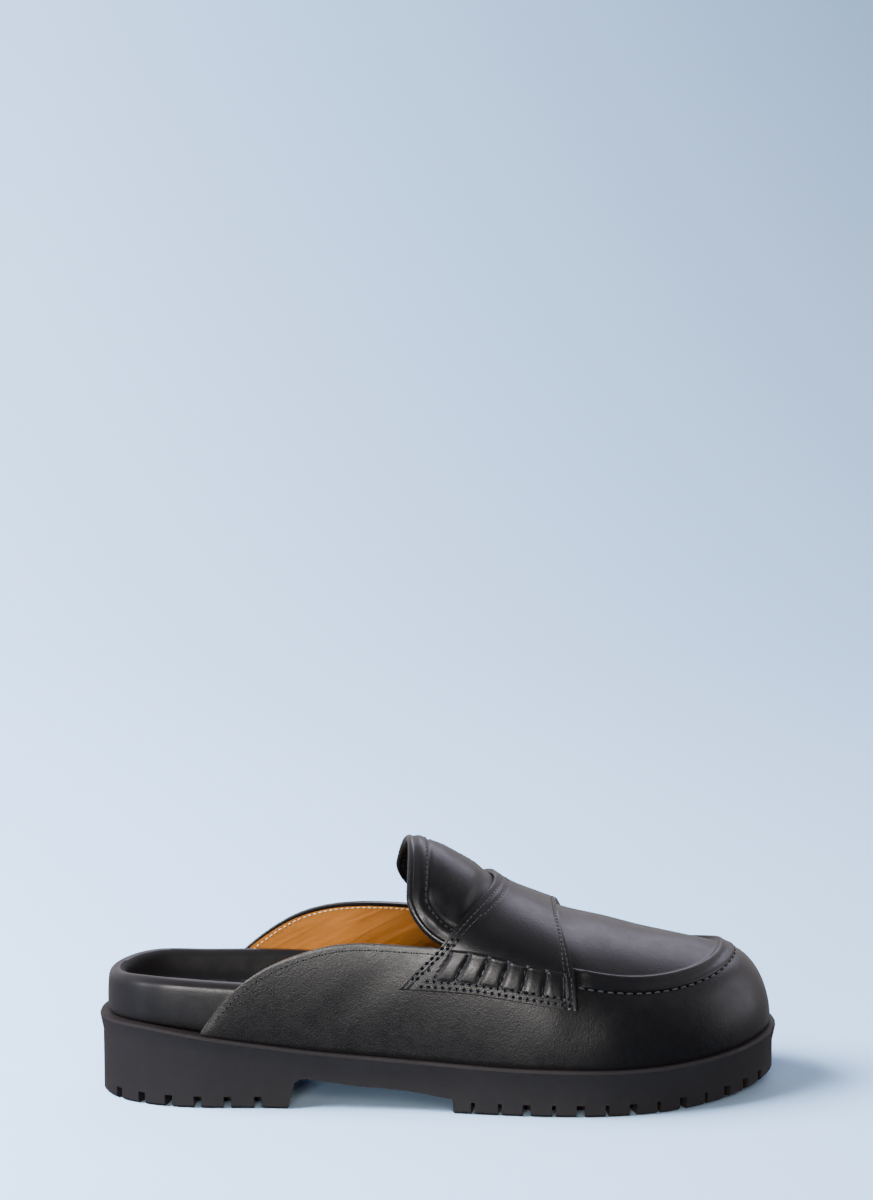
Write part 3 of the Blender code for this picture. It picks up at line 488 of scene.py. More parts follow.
def make_rubber():
    """Moulded rubber: dark grey, matte, with the fine spark-eroded grain of its mould."""
    made, tree, shader = new_material("dark grey moulded rubber", IOR=1.52)
    where = add(tree, "TexCoord").outputs["Object"]
    tone = two_tones(tree, where, 22 * MM, linear("#181414"), linear("#1c1818"))
    tree.links.new(tone, shader.inputs["Base Color"])
    patches = add(tree, "TexNoise", {"Vector": where, "Scale": 1 / (9 * MM), "Detail": 3.0})
    dull = {"Value": patches.outputs["Fac"], "To Min": 0.56, "To Max": 0.68}
    uneven = add(tree, "MapRange", {**MIDDLE_OF_NOISE, **dull})
    tree.links.new(uneven.outputs["Result"], shader.inputs["Roughness"])
    grit = add(tree, "TexNoise", {"Vector": where, "Scale": 1 / (0.55 * MM), "Detail": 3.0})
    tree.links.new(relief(tree, (grit.outputs["Fac"], 0.03 * MM)), shader.inputs["Normal"])
    return made


def make_thread(name, dark, light):
    """Waxed polyester thread: its tight twist shows as fine ribs."""
    made, tree, shader = new_material(name, Roughness=0.5, Sheen_Weight=0.15)
    where = add(tree, "TexCoord").outputs["Object"]
    twist = add(tree, "TexWave", {"Vector": where, "Scale": 1 / (2.2 * MM), "Distortion": 2.0})
    tone = add(tree, "Mix", {0: twist.outputs["Fac"], 6: linear(dark), 7: linear(light)}, data_type="RGBA")
    tree.links.new(tone.outputs[2], shader.inputs["Base Color"])
    tree.links.new(relief(tree, (twist.outputs["Fac"], 0.05 * MM)), shader.inputs["Normal"])
    return made


def make_pinhole():
    """The unlit inside of an awl hole."""
    made, _, shader = new_material("shadow inside an awl hole", Roughness=0.9)
    shader.inputs["Base Color"].default_value = linear("#050505")
    shader.inputs["Specular IOR Level"].default_value = 0.1
    return made


edge_paint = make_edge_paint()
rubber = make_rubber()
black_thread = make_thread("black waxed thread", "#0e0e0e", "#19191a")
# Painted glints: the same black thread in lighter colours, with no more gloss than the plain one
glint_painted_thread = make_thread("black thread painted lighter as glints", "#1e1e1f", "#343436")
pale_thread = make_thread("pale linen-coloured thread", "#c9a878", "#e2c69c")
pinhole = make_pinhole()


# Modelling


def deselect():
    bpy.ops.object.select_all(action="DESELECT")


def select_only(obj):
    deselect()
    obj.select_set(True)
    bpy.context.view_layer.objects.active = obj


def apply_modifiers(obj):
    select_only(obj)
    for modifier in list(obj.modifiers):
        bpy.ops.object.modifier_apply(modifier=modifier.name)


def smooth_shading(obj, degrees=50):
    select_only(obj)
    bpy.ops.object.shade_smooth_by_angle(angle=math.radians(degrees))


def paint(obj, *materials):
    obj.data.materials.clear()
    for one in materials:
        obj.data.materials.append(one)


def hand_over(obj, slot, *nodes):
    """Fixes a finished piece to the shoe's one body and hides the solids that it stands in for."""
    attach(obj, "root")
    if nodes:
        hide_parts(*nodes)
    return obj


def laid_sheet(name, columns, rows, place):
    """A grid primitive whose vertices are laid on the last at place(column, row). Edges that
    meet are sewn up."""
    deselect()
    wide, high = len(columns) - 1, len(rows) - 1
    bpy.ops.mesh.primitive_grid_add(x_subdivisions=wide, y_subdivisions=high, size=1)
    obj = bpy.context.object
    obj.name = obj.data.name = name
    for vert in obj.data.vertices:
        column, row = round((vert.co.x + 0.5) * wide), round((vert.co.y + 0.5) * high)
        vert.co = place(columns[column], rows[row])
    bpy.ops.object.mode_set(mode="EDIT")
    bpy.ops.mesh.select_all(action="SELECT")
    bpy.ops.mesh.remove_doubles(threshold=1e-6)
    bpy.ops.mesh.normals_make_consistent(inside=False)
    bpy.ops.object.mode_set(mode="OBJECT")
    centre = Vector((0, 0, BALL_HEIGHT))
    score = sum(face.area * face.normal.dot(face.center - centre) for face in obj.data.polygons)
    if score < 0:
        obj.data.flip_normals()
    return obj


def thicken(obj, wall, round_edge=0.5 * MM):
    """Gives a sheet its wall, with material 1 on its inner face and 2 on its cut edge."""
    solidify = obj.modifiers.new("wall", "SOLIDIFY")
    solidify.thickness = wall
    solidify.offset = -1
    solidify.material_offset = 1
    solidify.material_offset_rim = 2
    bevel = obj.modifiers.new("rounded cut", "BEVEL")
    bevel.width = round_edge
    bevel.segments = 2
    bevel.limit_method = "ANGLE"
    bevel.angle_limit = math.radians(60)
    apply_modifiers(obj)


@lru_cache(maxsize=None)
def section_lengths(side, station):
    """Levels up a section of the upper and the length along it from its edge line."""
    levels = np.linspace(0, 2, 121)
    places = [upper_point(side, station, float(v)) for v in levels]
    run = np.cumsum([0.0] + [(b - a).length for a, b in zip(places, places[1:])])
    return levels, run - np.interp(1.0, levels, run)


def level_at(side, station, depth):
    """The level at a depth in metres from the edge line: above it, or below it if negative."""
    levels, run = section_lengths(side, station)
    return float(np.interp(depth, run, levels))


def bump(value, middle, half_width):
    """A soft swell, 1 in the middle and 0 from half_width on."""
    return smooth(1 - abs(value - middle) / half_width)


# Upper: one band of quarters and mudguard, and the plug with its rolled edge


def steps(start, end, spacing):
    """Evenly spaced numbers from start to end, both included, at most spacing apart."""
    gaps = max(int(math.ceil(abs(end - start) / spacing)), 1)
    return [float(v) for v in np.linspace(start, end, gaps + 1)]


def wall_columns(rear, spacing):
    """(side, station) round the upper from one rear end to the other by way of the toe."""
    stations = steps(rear, 1.0, spacing / LENGTH)
    return [(LATERAL, s) for s in stations] + [(MEDIAL, s) for s in reversed(stations[:-1])]


# Soft creases of the walls. along: share of LENGTH. level: up the wall. lean: change of along per
# level. wide: half width in mm. tall: half height in levels. rise: mm, below zero for a trough.
Crease = namedtuple("Crease", "side along level lean wide tall rise")
CREASES = (
    Crease(LATERAL, 0.44, 0.50, 0.10, 18, 0.45, 0.20),
    Crease(LATERAL, 0.37, 0.45, 0.14, 16, 0.45, -0.16),
    Crease(LATERAL, 0.60, 0.30, -0.05, 18, 0.35, -0.20),
    Crease(LATERAL, 0.70, 0.42, 0.02, 13, 0.40, -0.30),
    Crease(LATERAL, 0.76, 0.45, 0.06, 10, 0.45, 0.28),
    Crease(MEDIAL, 0.40, 0.50, 0.12, 15, 0.45, 0.40),
    Crease(MEDIAL, 0.60, 0.40, -0.06, 14, 0.40, -0.35),
    Crease(MEDIAL, 0.72, 0.45, 0.03, 11, 0.45, -0.35),
    Crease(MEDIAL, 0.78, 0.45, 0.03, 9, 0.45, 0.30),
)


def crease_rise(side, station, level):
    along = along_of(station)
    total = 0.0
    for crease in CREASES:
        if crease.side != side:
            continue
        off = (along - crease.along - crease.lean * (level - crease.level)) * LENGTH
        total += crease.rise * MM * bump(off, 0, crease.wide * MM) * bump(level, crease.level, crease.tall)
    return total


def wall_place(column, level):
    side, station = column
    lift = crease_rise(side, station, level)
    return upper_point(side, station, level) + upper_normal(side, station, level) * lift


# The band's grid: height of a row in levels, width of a column, and the step along the topline
WALL_ROW = 0.04
WALL_COLUMN = 2.2 * MM
TOPLINE_STEP = 0.5 * MM


def turn_over(band):
    """The black edge turned over the topline, on the lining's uppermost row of faces."""
    places = wall_columns(station_of(QUARTER_REAR_SHARE), TOPLINE_STEP)
    edge = np.array([tuple(edge_point(side, station)) for side, station in places])
    rows = [(wall_place(place, 1.0) - wall_place(place, 1.0 - WALL_ROW)).length for place in places]
    for face in band.data.polygons:
        if face.material_index == 1:
            gaps = np.linalg.norm(edge - np.array(face.center), axis=1)
            nearest = int(gaps.argmin())
            if gaps[nearest] < math.hypot(UPPER_WALL, rows[nearest]):
                face.material_index = 2


def make_quarters():
    """Quarters and mudguard: one band of calf from end to end, lined in tan, with a painted cut edge."""
    columns = wall_columns(station_of(QUARTER_REAR_SHARE), WALL_COLUMN)
    band = laid_sheet("quarters_and_mudguard", columns, steps(0, 1, WALL_ROW), wall_place)
    paint(band, calf_leather, lining_leather, edge_paint)
    thicken(band, UPPER_WALL)
    turn_over(band)
    smooth_shading(band)
    return hand_over(band, "upper_leather", "upper")


# Section of the plug's rolled edge: mm from the edge line towards the spine, and mm of rise.
Roll = namedtuple("Roll", "depth rise")
ROLL = (
    Roll(-4.25, 0.65),
    Roll(-3.9, 0.95),
    Roll(-3.4, 1.10),
    Roll(-2.6, 1.25),
    Roll(-1.6, 1.45),
    Roll(-0.6, 1.70),
    Roll(0.4, 1.95),
    Roll(1.3, 2.20),
    Roll(2.0, 2.38),
    Roll(2.6, 2.42),
    Roll(3.1, 2.20),
    Roll(3.45, 1.60),
    Roll(3.75, 0.80),
    Roll(4.1, 0.15),
    Roll(4.6, -0.12),
    Roll(5.3, 0.0),
)
PLUG_SHARES = steps(0, 1, 0.04)[1:]
PLUG_COLUMN = 1.8 * MM
PLUG_WALL = 1.1 * MM
# Where the roll dies out, the plug still lies this high over the band, up to the roll's inner foot
PLUG_LAP = 0.25 * MM
ROLL_FOOT = 4 * MM


def roll_height(depth):
    return float(np.interp(depth / MM, [r.depth for r in ROLL], [r.rise for r in ROLL])) * MM


def plug_place(column, row):
    """On the roll while share is 0, then over the plain apron to the spine, where it is 1."""
    side, station = column
    depth, share = row
    if share == 1:
        return spine_point(edge_spine(along_of(station)))
    level = level_at(side, station, depth)
    if share:
        return upper_point(side, station, mix(level, 2.0, share))
    past_strap = (along_of(station) - strap_front(1.0)) * LENGTH
    whole = smooth((past_strap - RIDGE_START) / RIDGE_RAMP)
    lift = max(roll_height(depth) * whole, PLUG_LAP if depth < ROLL_FOOT else 0.0)
    normal = upper_normal(side, station, level)
    if station == 1:
        normal = (normal + upper_normal(-side, station, level)).normalized()
    return upper_point(side, station, level) + normal * lift


def make_plug():
    """The apron over the toes, with the thick roll along its sewn edge."""
    columns = wall_columns(PLUG_REAR_SHARE, PLUG_COLUMN)
    rows = [(r.depth * MM, 0.0) for r in ROLL] + [(ROLL[-1].depth * MM, s) for s in PLUG_SHARES]
    plug = laid_sheet("plug", columns, rows, plug_place)
    paint(plug, calf_leather, lining_leather, edge_paint)
    thicken(plug, PLUG_WALL, round_edge=0.3 * MM)
    smooth_shading(plug)
    return hand_over(plug, "upper_leather")


# Tongue


def tongue_place(across, run):
    """Side, station and level on the tongue. across is -1 lateral to 1 medial, run 0 to 1 from
    the plug to the tongue's free end, which stands a little askew."""
    side = MEDIAL if across > 0 else LATERAL
    end = TONGUE_TOP_SHARE - across * TONGUE_TWIST / 2 / LENGTH
    station = mix(PLUG_REAR_SHARE - 3 * GAP / LENGTH, end, run)
    corner = TONGUE_CORNER_SHARE * (1 - (1 - run**TONGUE_CORNER_POWER) ** (1 / TONGUE_CORNER_POWER))
    lowest = corner + TONGUE_ABOVE_TOPLINE_SHARE
    return side, station, 1 + mix(1.0, lowest, abs(across))


def tongue_rim(from_run):
    sides = [float(r) for r in np.sin(np.linspace(math.asin(from_run), math.pi / 2, 40))]
    places = [(-1.0, r) for r in sides]
    places += [(a, 1.0) for a in steps(-1, 1, 0.05)[1:-1]]
    return places + [(1.0, r) for r in reversed(sides)]


# The tongue's padding: a band along the edge, the sewn groove, and the quilted middle, which rises
# over a slope. All but the groove fades in along the run, from the plug on.
TONGUE_SEAM_INSET = 7.2 * MM
TONGUE_PAD = 0.8 * MM
BAND_SHARE = 0.7
GROOVE_REACH = 1.3 * MM
GROOVE_DEPTH = 0.45 * MM
MIDDLE_SLOPE = 9 * MM
PAD_FROM_RUN, PAD_FADE = 0.18, 0.15
TONGUE_GRID = 0.022
TONGUE_RUN_POWER = 1.6
PIPING_RADIUS = 1.75 * MM
PIPING_PROUD = 0.7 * MM


@lru_cache(maxsize=None)
def tongue_rim_points():
    return np.array([upper_point(*tongue_place(a, r)) for a, r in tongue_rim(0.0)])


def from_rim(point):
    """Distance of a point on the tongue from its free edge."""
    return float(np.sqrt(((tongue_rim_points() - np.array(point)) ** 2).sum(axis=1)).min())


def tongue_rise(inset, run):
    """Height of the padding over the tongue's plain skin: a soft band along the edge, a sewn
    groove and the quilted middle."""
    band = bump(inset, TONGUE_SEAM_INSET / 2, TONGUE_SEAM_INSET / 2) * TONGUE_PAD * BAND_SHARE
    groove = bump(inset, TONGUE_SEAM_INSET, GROOVE_REACH) * GROOVE_DEPTH
    middle = smooth((inset - TONGUE_SEAM_INSET) / MIDDLE_SLOPE) * TONGUE_PAD
    return (band + middle) * smooth((run - PAD_FROM_RUN) / PAD_FADE) - groove


# Dents beside the tongue's seam, where the padding buckles. along and up are the point's X and Z in
# mm, wide its reach and rise its height.
Dent = namedtuple("Dent", "side along up wide rise")
TONGUE_DENTS = (
    Dent(LATERAL, -5.0, 92.0, 6.5, -0.8),
    Dent(LATERAL, -3.0, 84.0, 6.0, 0.5),
    Dent(LATERAL, 3.0, 90.0, 8.0, -0.35),
    Dent(MEDIAL, -4.0, 90.0, 7.0, -0.6),
)


def dents(point, side):
    total = 0.0
    for dent in TONGUE_DENTS:
        if dent.side == side:
            away = math.hypot(point.x - dent.along * MM, point.z - dent.up * MM)
            total += dent.rise * MM * bump(away, 0, dent.wide * MM)
    return total


def tongue_skin(across, run):
    place = tongue_place(across, run)
    point = upper_point(*place)
    lift = tongue_rise(from_rim(point), run) + dents(point, place[0])
    return point + upper_normal(*place) * lift


def make_tongue():
    """Padded flap of calf that runs on from the plug under the strap."""
    runs = [1 - (1 - t) ** TONGUE_RUN_POWER for t in steps(0, 1, TONGUE_GRID)]
    flap = laid_sheet("tongue_padded", steps(-1, 1, TONGUE_GRID), runs, tongue_skin)
    paint(flap, calf_leather, sock_leather, rolled_leather)
    thicken(flap, TONGUE_WALL, round_edge=0.7 * MM)
    smooth_shading(flap)
    return hand_over(flap, "upper_leather", "tongue")


# Saddle strap

PLEATS = 6
PLEAT_REAR = (0.150, 0.100)
PLEAT_FRONT = 0.930
PLEAT_LEVELS = (0.67, 0.965)
PLEAT_RISE = 0.45 * MM
PLEAT_CREASE = 0.4 * MM
PANEL_WELT = 0.35 * MM
# In cells: half width of a crease and of its slope, and how blunt a cell's ends are. In panel
# heights: half width of the welt.
CREASE_REACH = 0.10
CREASE_SLOPE = 0.3
CELL_POWER = 0.4
WELT_REACH = 0.09
ROW_INSETS = (1.9 * MM, 4.3 * MM)
CHANNEL_REACH = 0.9 * MM
CHANNEL_DEPTH = 0.22 * MM
# The strap's outer face, under its relief, and its sheet, both a little inside the solid's wall
STRAP_FACE = STRAP_WALL - 0.2 * MM
STRAP_SHEET = STRAP_WALL - 0.3 * MM
# The grid's lines: mm from the long edges of a strap about 60 mm wide, and levels at its foot
EDGE_LINES = (0, 0.6, 1.1, 1.9, 2.7, 3.1, 3.7, 4.3, 5.1, 6.0)
STRAP_ABOUT_WIDE = 0.060
FOOT_LEVELS = (0.57, 0.585, 0.60, 0.62, 0.645)


def strap_station(share, level):
    return mix(strap_rear(level), strap_front(level), share)


@lru_cache(maxsize=None)
def strap_width(level):
    return (strap_front(level) - strap_rear(level)) * LENGTH


def strap_skin(side, share, level, lift):
    place = (side, strap_station(share, level), level)
    return upper_point(*place) + upper_normal(*place) * (STRAP_GAP + lift)


def pleat_place(share, level):
    """Where a place on the strap lies in the pleated panel: cells from the rear, and share up."""
    up = (level - PLEAT_LEVELS[0]) / (PLEAT_LEVELS[1] - PLEAT_LEVELS[0])
    rear = mix(PLEAT_REAR[0], PLEAT_REAR[1], up)
    return (share - rear) / (PLEAT_FRONT - rear) * PLEATS, up


def pleat_rise(share, level):
    cell, up = pleat_place(share, level)
    if not (0 < cell < PLEATS and 0 < up < 1.1):
        return 0.0
    welt = PANEL_WELT * bump(up, 1.0, WELT_REACH)
    if up >= 1:
        return welt
    from_crease = abs(cell - round(cell))
    swell = smooth(from_crease / CREASE_SLOPE) * math.sin(up * math.pi) ** CELL_POWER
    return PLEAT_RISE * swell - PLEAT_CREASE * bump(from_crease, 0.0, CREASE_REACH) + welt


def strap_rise(share, level):
    """The strap's relief: a sewn channel at each row of stitches, and the puckered panel."""
    from_rear, from_front = share * strap_width(level), (1 - share) * strap_width(level)
    channel = 0.0
    for inset in ROW_INSETS:
        channel += bump(from_rear, inset, CHANNEL_REACH) + bump(from_front, inset, CHANNEL_REACH)
    return pleat_rise(share, level) - CHANNEL_DEPTH * min(channel, 1.0)


def strap_shares():
    near = [v * MM / STRAP_ABOUT_WIDE for v in EDGE_LINES]
    middle = steps(near[-1], 1 - near[-1], 0.0095)[1:-1]
    return near + middle + [1 - v for v in reversed(near)]


def strap_levels():
    low, high = PLEAT_LEVELS
    lower = [*FOOT_LEVELS, *steps(low, high, 0.014), 0.98, 0.99]
    return lower + steps(1.0, 2.0, 0.03)


def make_strap():
    """The saddle strap, with six puckered cells and a welt over them at each end."""
    levels = strap_levels()
    rows = [(LATERAL, v) for v in levels] + [(MEDIAL, v) for v in reversed(levels[:-1])]

    def place(share, row):
        side, level = row
        return strap_skin(side, share, level, STRAP_FACE + strap_rise(share, level))

    strap = laid_sheet("saddle_strap_sewn", strap_shares(), rows, place)
    paint(strap, calf_leather, calf_leather, edge_paint)
    thicken(strap, STRAP_SHEET, round_edge=0.45 * MM)
    smooth_shading(strap)
    return hand_over(strap, "upper_leather", "saddle_strap")


# Pieces that keep the solid's own form: a merged copy of the node, softened


def merged_copy(node, name):
    deselect()
    obj = bpy.data.objects.new(name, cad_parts[node].data.copy())
    obj.data.name = name
    bpy.context.scene.collection.objects.link(obj)
    select_only(obj)
    bpy.ops.object.mode_set(mode="EDIT")
    bpy.ops.mesh.select_all(action="SELECT")
    bpy.ops.mesh.remove_doubles(threshold=2e-6)
    bpy.ops.mesh.tris_convert_to_quads(face_threshold=math.radians(40), shape_threshold=math.radians(40))
    bpy.ops.object.mode_set(mode="OBJECT")
    return obj


def soften(obj, levels):
    divide = obj.modifiers.new("softened", "SUBSURF")
    divide.levels = divide.render_levels = levels
    apply_modifiers(obj)
    smooth_shading(obj, 60)


BED_HEEL_CENTRE = -0.100
# A face of the bed that looks inwards by more than this is inside the rim, and takes the leather painted
# darker as shade
INSIDE_RIM = -0.3


def outward_from_middle(point):
    """The level direction to a point from the bed's middle line, which ends in the heel's centre."""
    x = max(point.x, BED_HEEL_CENTRE)
    return Vector((point.x - x, point.y - middle_y(along_of(x)), 0)).normalized()


def make_footbed():
    bed = merged_copy("footbed", "footbed_wrapped")
    paint(bed, wrap_leather, shaded_bed_leather)
    soften(bed, 2)
    # Painted shade: faces inside the rim take the duller leather painted darker
    for face in bed.data.polygons:
        out = outward_from_middle(face.center)
        if face.normal.x * out.x + face.normal.y * out.y < INSIDE_RIM:
            face.material_index = 1
    return hand_over(bed, "footbed_leather", "footbed")


def make_insole():
    sock = merged_copy("insole", "insole_sock")
    paint(sock, sock_leather)
    soften(sock, 2)
    return hand_over(sock, "insole_leather", "insole")


# The bead along the tongue's edge: where it starts, how deep its middle lies and how round it is
PIPING_FROM_RUN = 0.28
PIPING_DEPTH = TONGUE_WALL / 2 - 0.3 * MM
PIPING_SIDES = 14


def make_piping():
    """The tongue's edge, rolled over a cord, down to where it goes under the strap."""
    places = [tongue_place(a, r) for a, r in tongue_rim(PIPING_FROM_RUN)]
    edge = [upper_point(*place) for place in places]

    def place_on_bead(index, turn):
        tangent = edge[min(index + 1, len(edge) - 1)] - edge[max(index - 1, 0)]
        normal = upper_normal(*places[index])
        out = normal.cross(tangent).normalized()
        centre = edge[index] - normal * PIPING_DEPTH + out * PIPING_PROUD
        return centre + (out * math.cos(turn) + normal * math.sin(turn)) * PIPING_RADIUS

    turns = [math.tau * k / PIPING_SIDES for k in range(PIPING_SIDES + 1)]
    bead = laid_sheet("tongue_piping_rolled", list(range(len(edge))), turns, place_on_bead)
    paint(bead, rolled_leather)
    smooth_shading(bead)
    return hand_over(bead, "upper_leather", "tongue_piping")


def make_outsole():
    sole = merged_copy("outsole", "outsole_moulded")
    paint(sole, rubber)
    bevel = sole.modifiers.new("moulded corners", "BEVEL")
    bevel.width = 0.45 * MM
    bevel.segments = 2
    bevel.limit_method = "ANGLE"
    bevel.angle_limit = math.radians(35)
    bevel.use_clamp_overlap = True
    apply_modifiers(sole)
    smooth_shading(sole, 35)
    shading = sole.modifiers.new("even shading", "WEIGHTED_NORMAL")
    shading.keep_sharp = True
    apply_modifiers(sole)
    return hand_over(sole, "sole_rubber", "outsole")


quarters = make_quarters()
make_plug()
tongue = make_tongue()
strap = make_strap()
make_footbed()
make_insole()
make_piping()
make_outsole()


# Thread and awl holes, laid on the finished pieces


def form_of(obj):
    """Takes a modelled shape as corners and faces, to be copied many times."""
    corners = np.array([vert.co for vert in obj.data.vertices])
    faces = [tuple(face.vertices) for face in obj.data.polygons]
    bpy.data.objects.remove(obj)
    return corners, faces


def make_stitch_form():
    """One stitch of unit length along X, like a grain of rice that dips at both ends."""
    deselect()
    bpy.ops.mesh.primitive_uv_sphere_add(segments=8, ring_count=6, radius=0.5, rotation=(0, math.pi / 2, 0))
    bpy.ops.object.transform_apply(location=False, rotation=True, scale=False)
    return form_of(bpy.context.object)


def make_hole_form():
    """The mouth of an awl hole, a disc of unit width that bulges a little."""
    deselect()
    bpy.ops.mesh.primitive_circle_add(vertices=10, radius=0.5, fill_type="TRIFAN")
    hole = bpy.context.object
    for vert in hole.data.vertices:
        if vert.co.length < 0.1:
            vert.co.z = 0.08
    return form_of(hole)


def make_lip_form():
    """The leather pushed up round an awl hole."""
    deselect()
    bpy.ops.mesh.primitive_torus_add(major_segments=12, minor_segments=5, major_radius=0.62, minor_radius=0.2)
    bpy.context.object.scale.z = 0.7
    bpy.ops.object.transform_apply(location=False, rotation=False, scale=True)
    return form_of(bpy.context.object)


STITCH_FORM = make_stitch_form()
HOLE_FORM = make_hole_form()
LIP_FORM = make_lip_form()


def copies(name, form, placings, material):
    """Copies of one shape in one mesh."""
    corners, faces = form
    points, joined = [], []
    for k, placed in enumerate(placings):
        turn = np.array(placed.to_3x3())
        points += (corners @ turn.T + np.array(placed.translation)).tolist()
        joined += [tuple(v + k * len(corners) for v in face) for face in faces]
    mesh = bpy.data.meshes.new(name)
    mesh.from_pydata(points, [], joined)
    mesh.materials.append(material)
    mesh.shade_smooth()
    obj = bpy.data.objects.new(name, mesh)
    bpy.context.scene.collection.objects.link(obj)
    return hand_over(obj, "upper_leather")


def skin_of(obj):
    return BVHTree.FromObject(obj, bpy.context.evaluated_depsgraph_get())


def evenly(points, pitch):
    """Places at an even pitch along a line of points, with the line's direction there."""
    lengths = np.cumsum([0.0] + [(b - a).length for a, b in zip(points, points[1:])])
    count = max(int(lengths[-1] / pitch), 1)
    spare = lengths[-1] - (count - 1) * pitch
    table = np.array([tuple(p) for p in points])
    reach = 2e-4

    def point_at(length):
        return Vector([np.interp(length, lengths, table[:, i]) for i in range(3)])

    made = []
    for k in range(count):
        at = spare / 2 + k * pitch
        here, ahead = point_at(at - reach), point_at(at + reach)
        made.append(((here + ahead) / 2, (ahead - here).normalized()))
    return made


def placing(skin, point, direction, length, wide, high, rise, turn=0.0):
    """Where a stitch lies: on the skin, along a direction turned about the skin's normal."""
    spot, normal, _, _ = skin.find_nearest(point)
    if normal.dot(point - spot) < 0:
        normal = -normal
    x = (direction - normal * direction.dot(normal)).normalized()
    y = normal.cross(x)
    x, y = x * math.cos(turn) + y * math.sin(turn), y * math.cos(turn) - x * math.sin(turn)
    axes = Matrix((x * length, y * wide, normal * high)).transposed().to_4x4()
    axes.translation = spot + normal * rise
    return axes


def stitch_row(skin, path, pitch, length, wide=0.62 * MM, high=0.5 * MM, rise=0.02 * MM, turn=0.0):
    return [placing(skin, p, d, length, wide, high, rise, turn) for p, d in evenly(path, pitch)]


def hole_row(skin, path, pitch, wide=0.85 * MM, rise=0.03 * MM):
    """Awl holes at the ends of the stitches of a row with the same pitch."""
    placings = []
    for p, d in evenly(path, pitch):
        placings.append(placing(skin, p + d * pitch / 2, d, wide, wide, wide, rise))
    return placings


# Lines for thread are drawn this far off a skin, and the nearest place on it is then taken
LIFT = 1.2 * MM


def lifted(place):
    return upper_point(*place) + upper_normal(*place) * LIFT


def below_topline(side, inset, inner=False):
    """A line on a quarter at an inset from its topline, from its rear foot to the strap."""
    stations = steps(station_of(QUARTER_REAR_SHARE), 0.56, 0.006)
    line = []
    for station in stations:
        edge = edge_point(side, station)
        ahead = edge_point(side, station + 0.002) - edge
        down = ahead.cross(upper_normal(side, station, 1.0)).normalized() * side
        if down.z > 0:
            down = -down
        normal = upper_normal(side, station, 0.95)
        off = -(UPPER_WALL + LIFT) if inner else LIFT
        line.append(edge + down * inset + normal * off)
    return [p for p in line if p.z > sole_top(0.5 + p.x / LENGTH) + 1.5 * MM]


def under_roll(depth):
    """A line on the mudguard along the foot of the plug's roll, from strap to strap."""
    columns = wall_columns(strap_front(1.0) + 0.004, 2 * MM)
    return [lifted((side, s, level_at(side, s, depth))) for side, s in columns]


def along_strap(inset, front, low_level, high_level, side):
    """A line on the strap at an inset from its rear or front edge."""
    line = []
    for level in steps(low_level, high_level, 0.03):
        share = inset / strap_width(level)
        line.append(strap_skin(side, 1 - share if front else share, level, STRAP_WALL + LIFT))
    return line


def along_strap_foot(inset, side):
    """A line on the strap at an inset over its lower edge."""
    line = []
    for share in steps(*FOOT_SHARES, 0.02):
        low = STRAP_EDGE[0].level
        station = strap_station(share, low)
        level = level_at(side, station, section_depth(side, station, low) + inset)
        line.append(strap_skin(side, share, level, STRAP_WALL + LIFT))
    return line


def section_depth(side, station, level):
    levels, run = section_lengths(side, station)
    return float(np.interp(level, levels, run))


def pleat_line(side, cell):
    """A line down the crease between two puckered cells."""
    line = []
    for up in steps(0.04, 0.96, 0.06):
        level = mix(*PLEAT_LEVELS, up)
        rear = mix(*PLEAT_REAR, up)
        share = mix(rear, PLEAT_FRONT, cell / PLEATS)
        line.append(strap_skin(side, share, level, STRAP_WALL + LIFT))
    return line


def tongue_seam():
    """The line of the tongue's sewn groove."""
    line = []
    places = [tongue_place(a, r) for a, r in tongue_rim(0.30)]
    edge = [upper_point(*place) for place in places]
    for i, place in enumerate(places):
        tangent = (edge[min(i + 1, len(edge) - 1)] - edge[max(i - 1, 0)]).normalized()
        normal = upper_normal(*place)
        line.append(edge[i] - normal.cross(tangent) * TONGUE_SEAM_INSET + normal * LIFT)
    return line


# Distance from stitch to stitch, and how far up the strap each of its rows goes
EDGE_PITCH = 2.5 * MM
ROLL_PITCH = 4.4 * MM
PANEL_PITCH = 3.1 * MM
CREASE_PITCH = 2.9 * MM
TONGUE_PITCH = 2.7 * MM
FOOT_SHARES = (0.06, 0.965)
FRONT_ROW = (0.60, 2.0)
REAR_ROW = (1.12, 2.0)
PANEL_ROW = (0.60, 1.12)


def sew_quarters():
    skin = skin_of(quarters)
    black, holes, pale = [], [], []
    for side in (LATERAL, MEDIAL):
        row = below_topline(side, 3.0 * MM)
        black += stitch_row(skin, row, EDGE_PITCH, 1.7 * MM)
        holes += hole_row(skin, row, EDGE_PITCH, 0.7 * MM)
        pale += stitch_row(skin, below_topline(side, 2.4 * MM, True), EDGE_PITCH, 1.7 * MM)
    roll = under_roll(-4.7 * MM)
    # Painted glints: the roll's row is sewn in the thread painted lighter
    bright = stitch_row(skin, roll, ROLL_PITCH, 2.8 * MM, 0.9 * MM, 0.8 * MM, 0.25 * MM)
    holes += hole_row(skin, roll, ROLL_PITCH, 0.9 * MM)
    copies("quarter_stitches", STITCH_FORM, black, black_thread)
    copies("roll_stitches", STITCH_FORM, bright, glint_painted_thread)
    copies("quarter_awl_holes", HOLE_FORM, holes, pinhole)
    copies("lining_stitches", STITCH_FORM, pale, pale_thread)


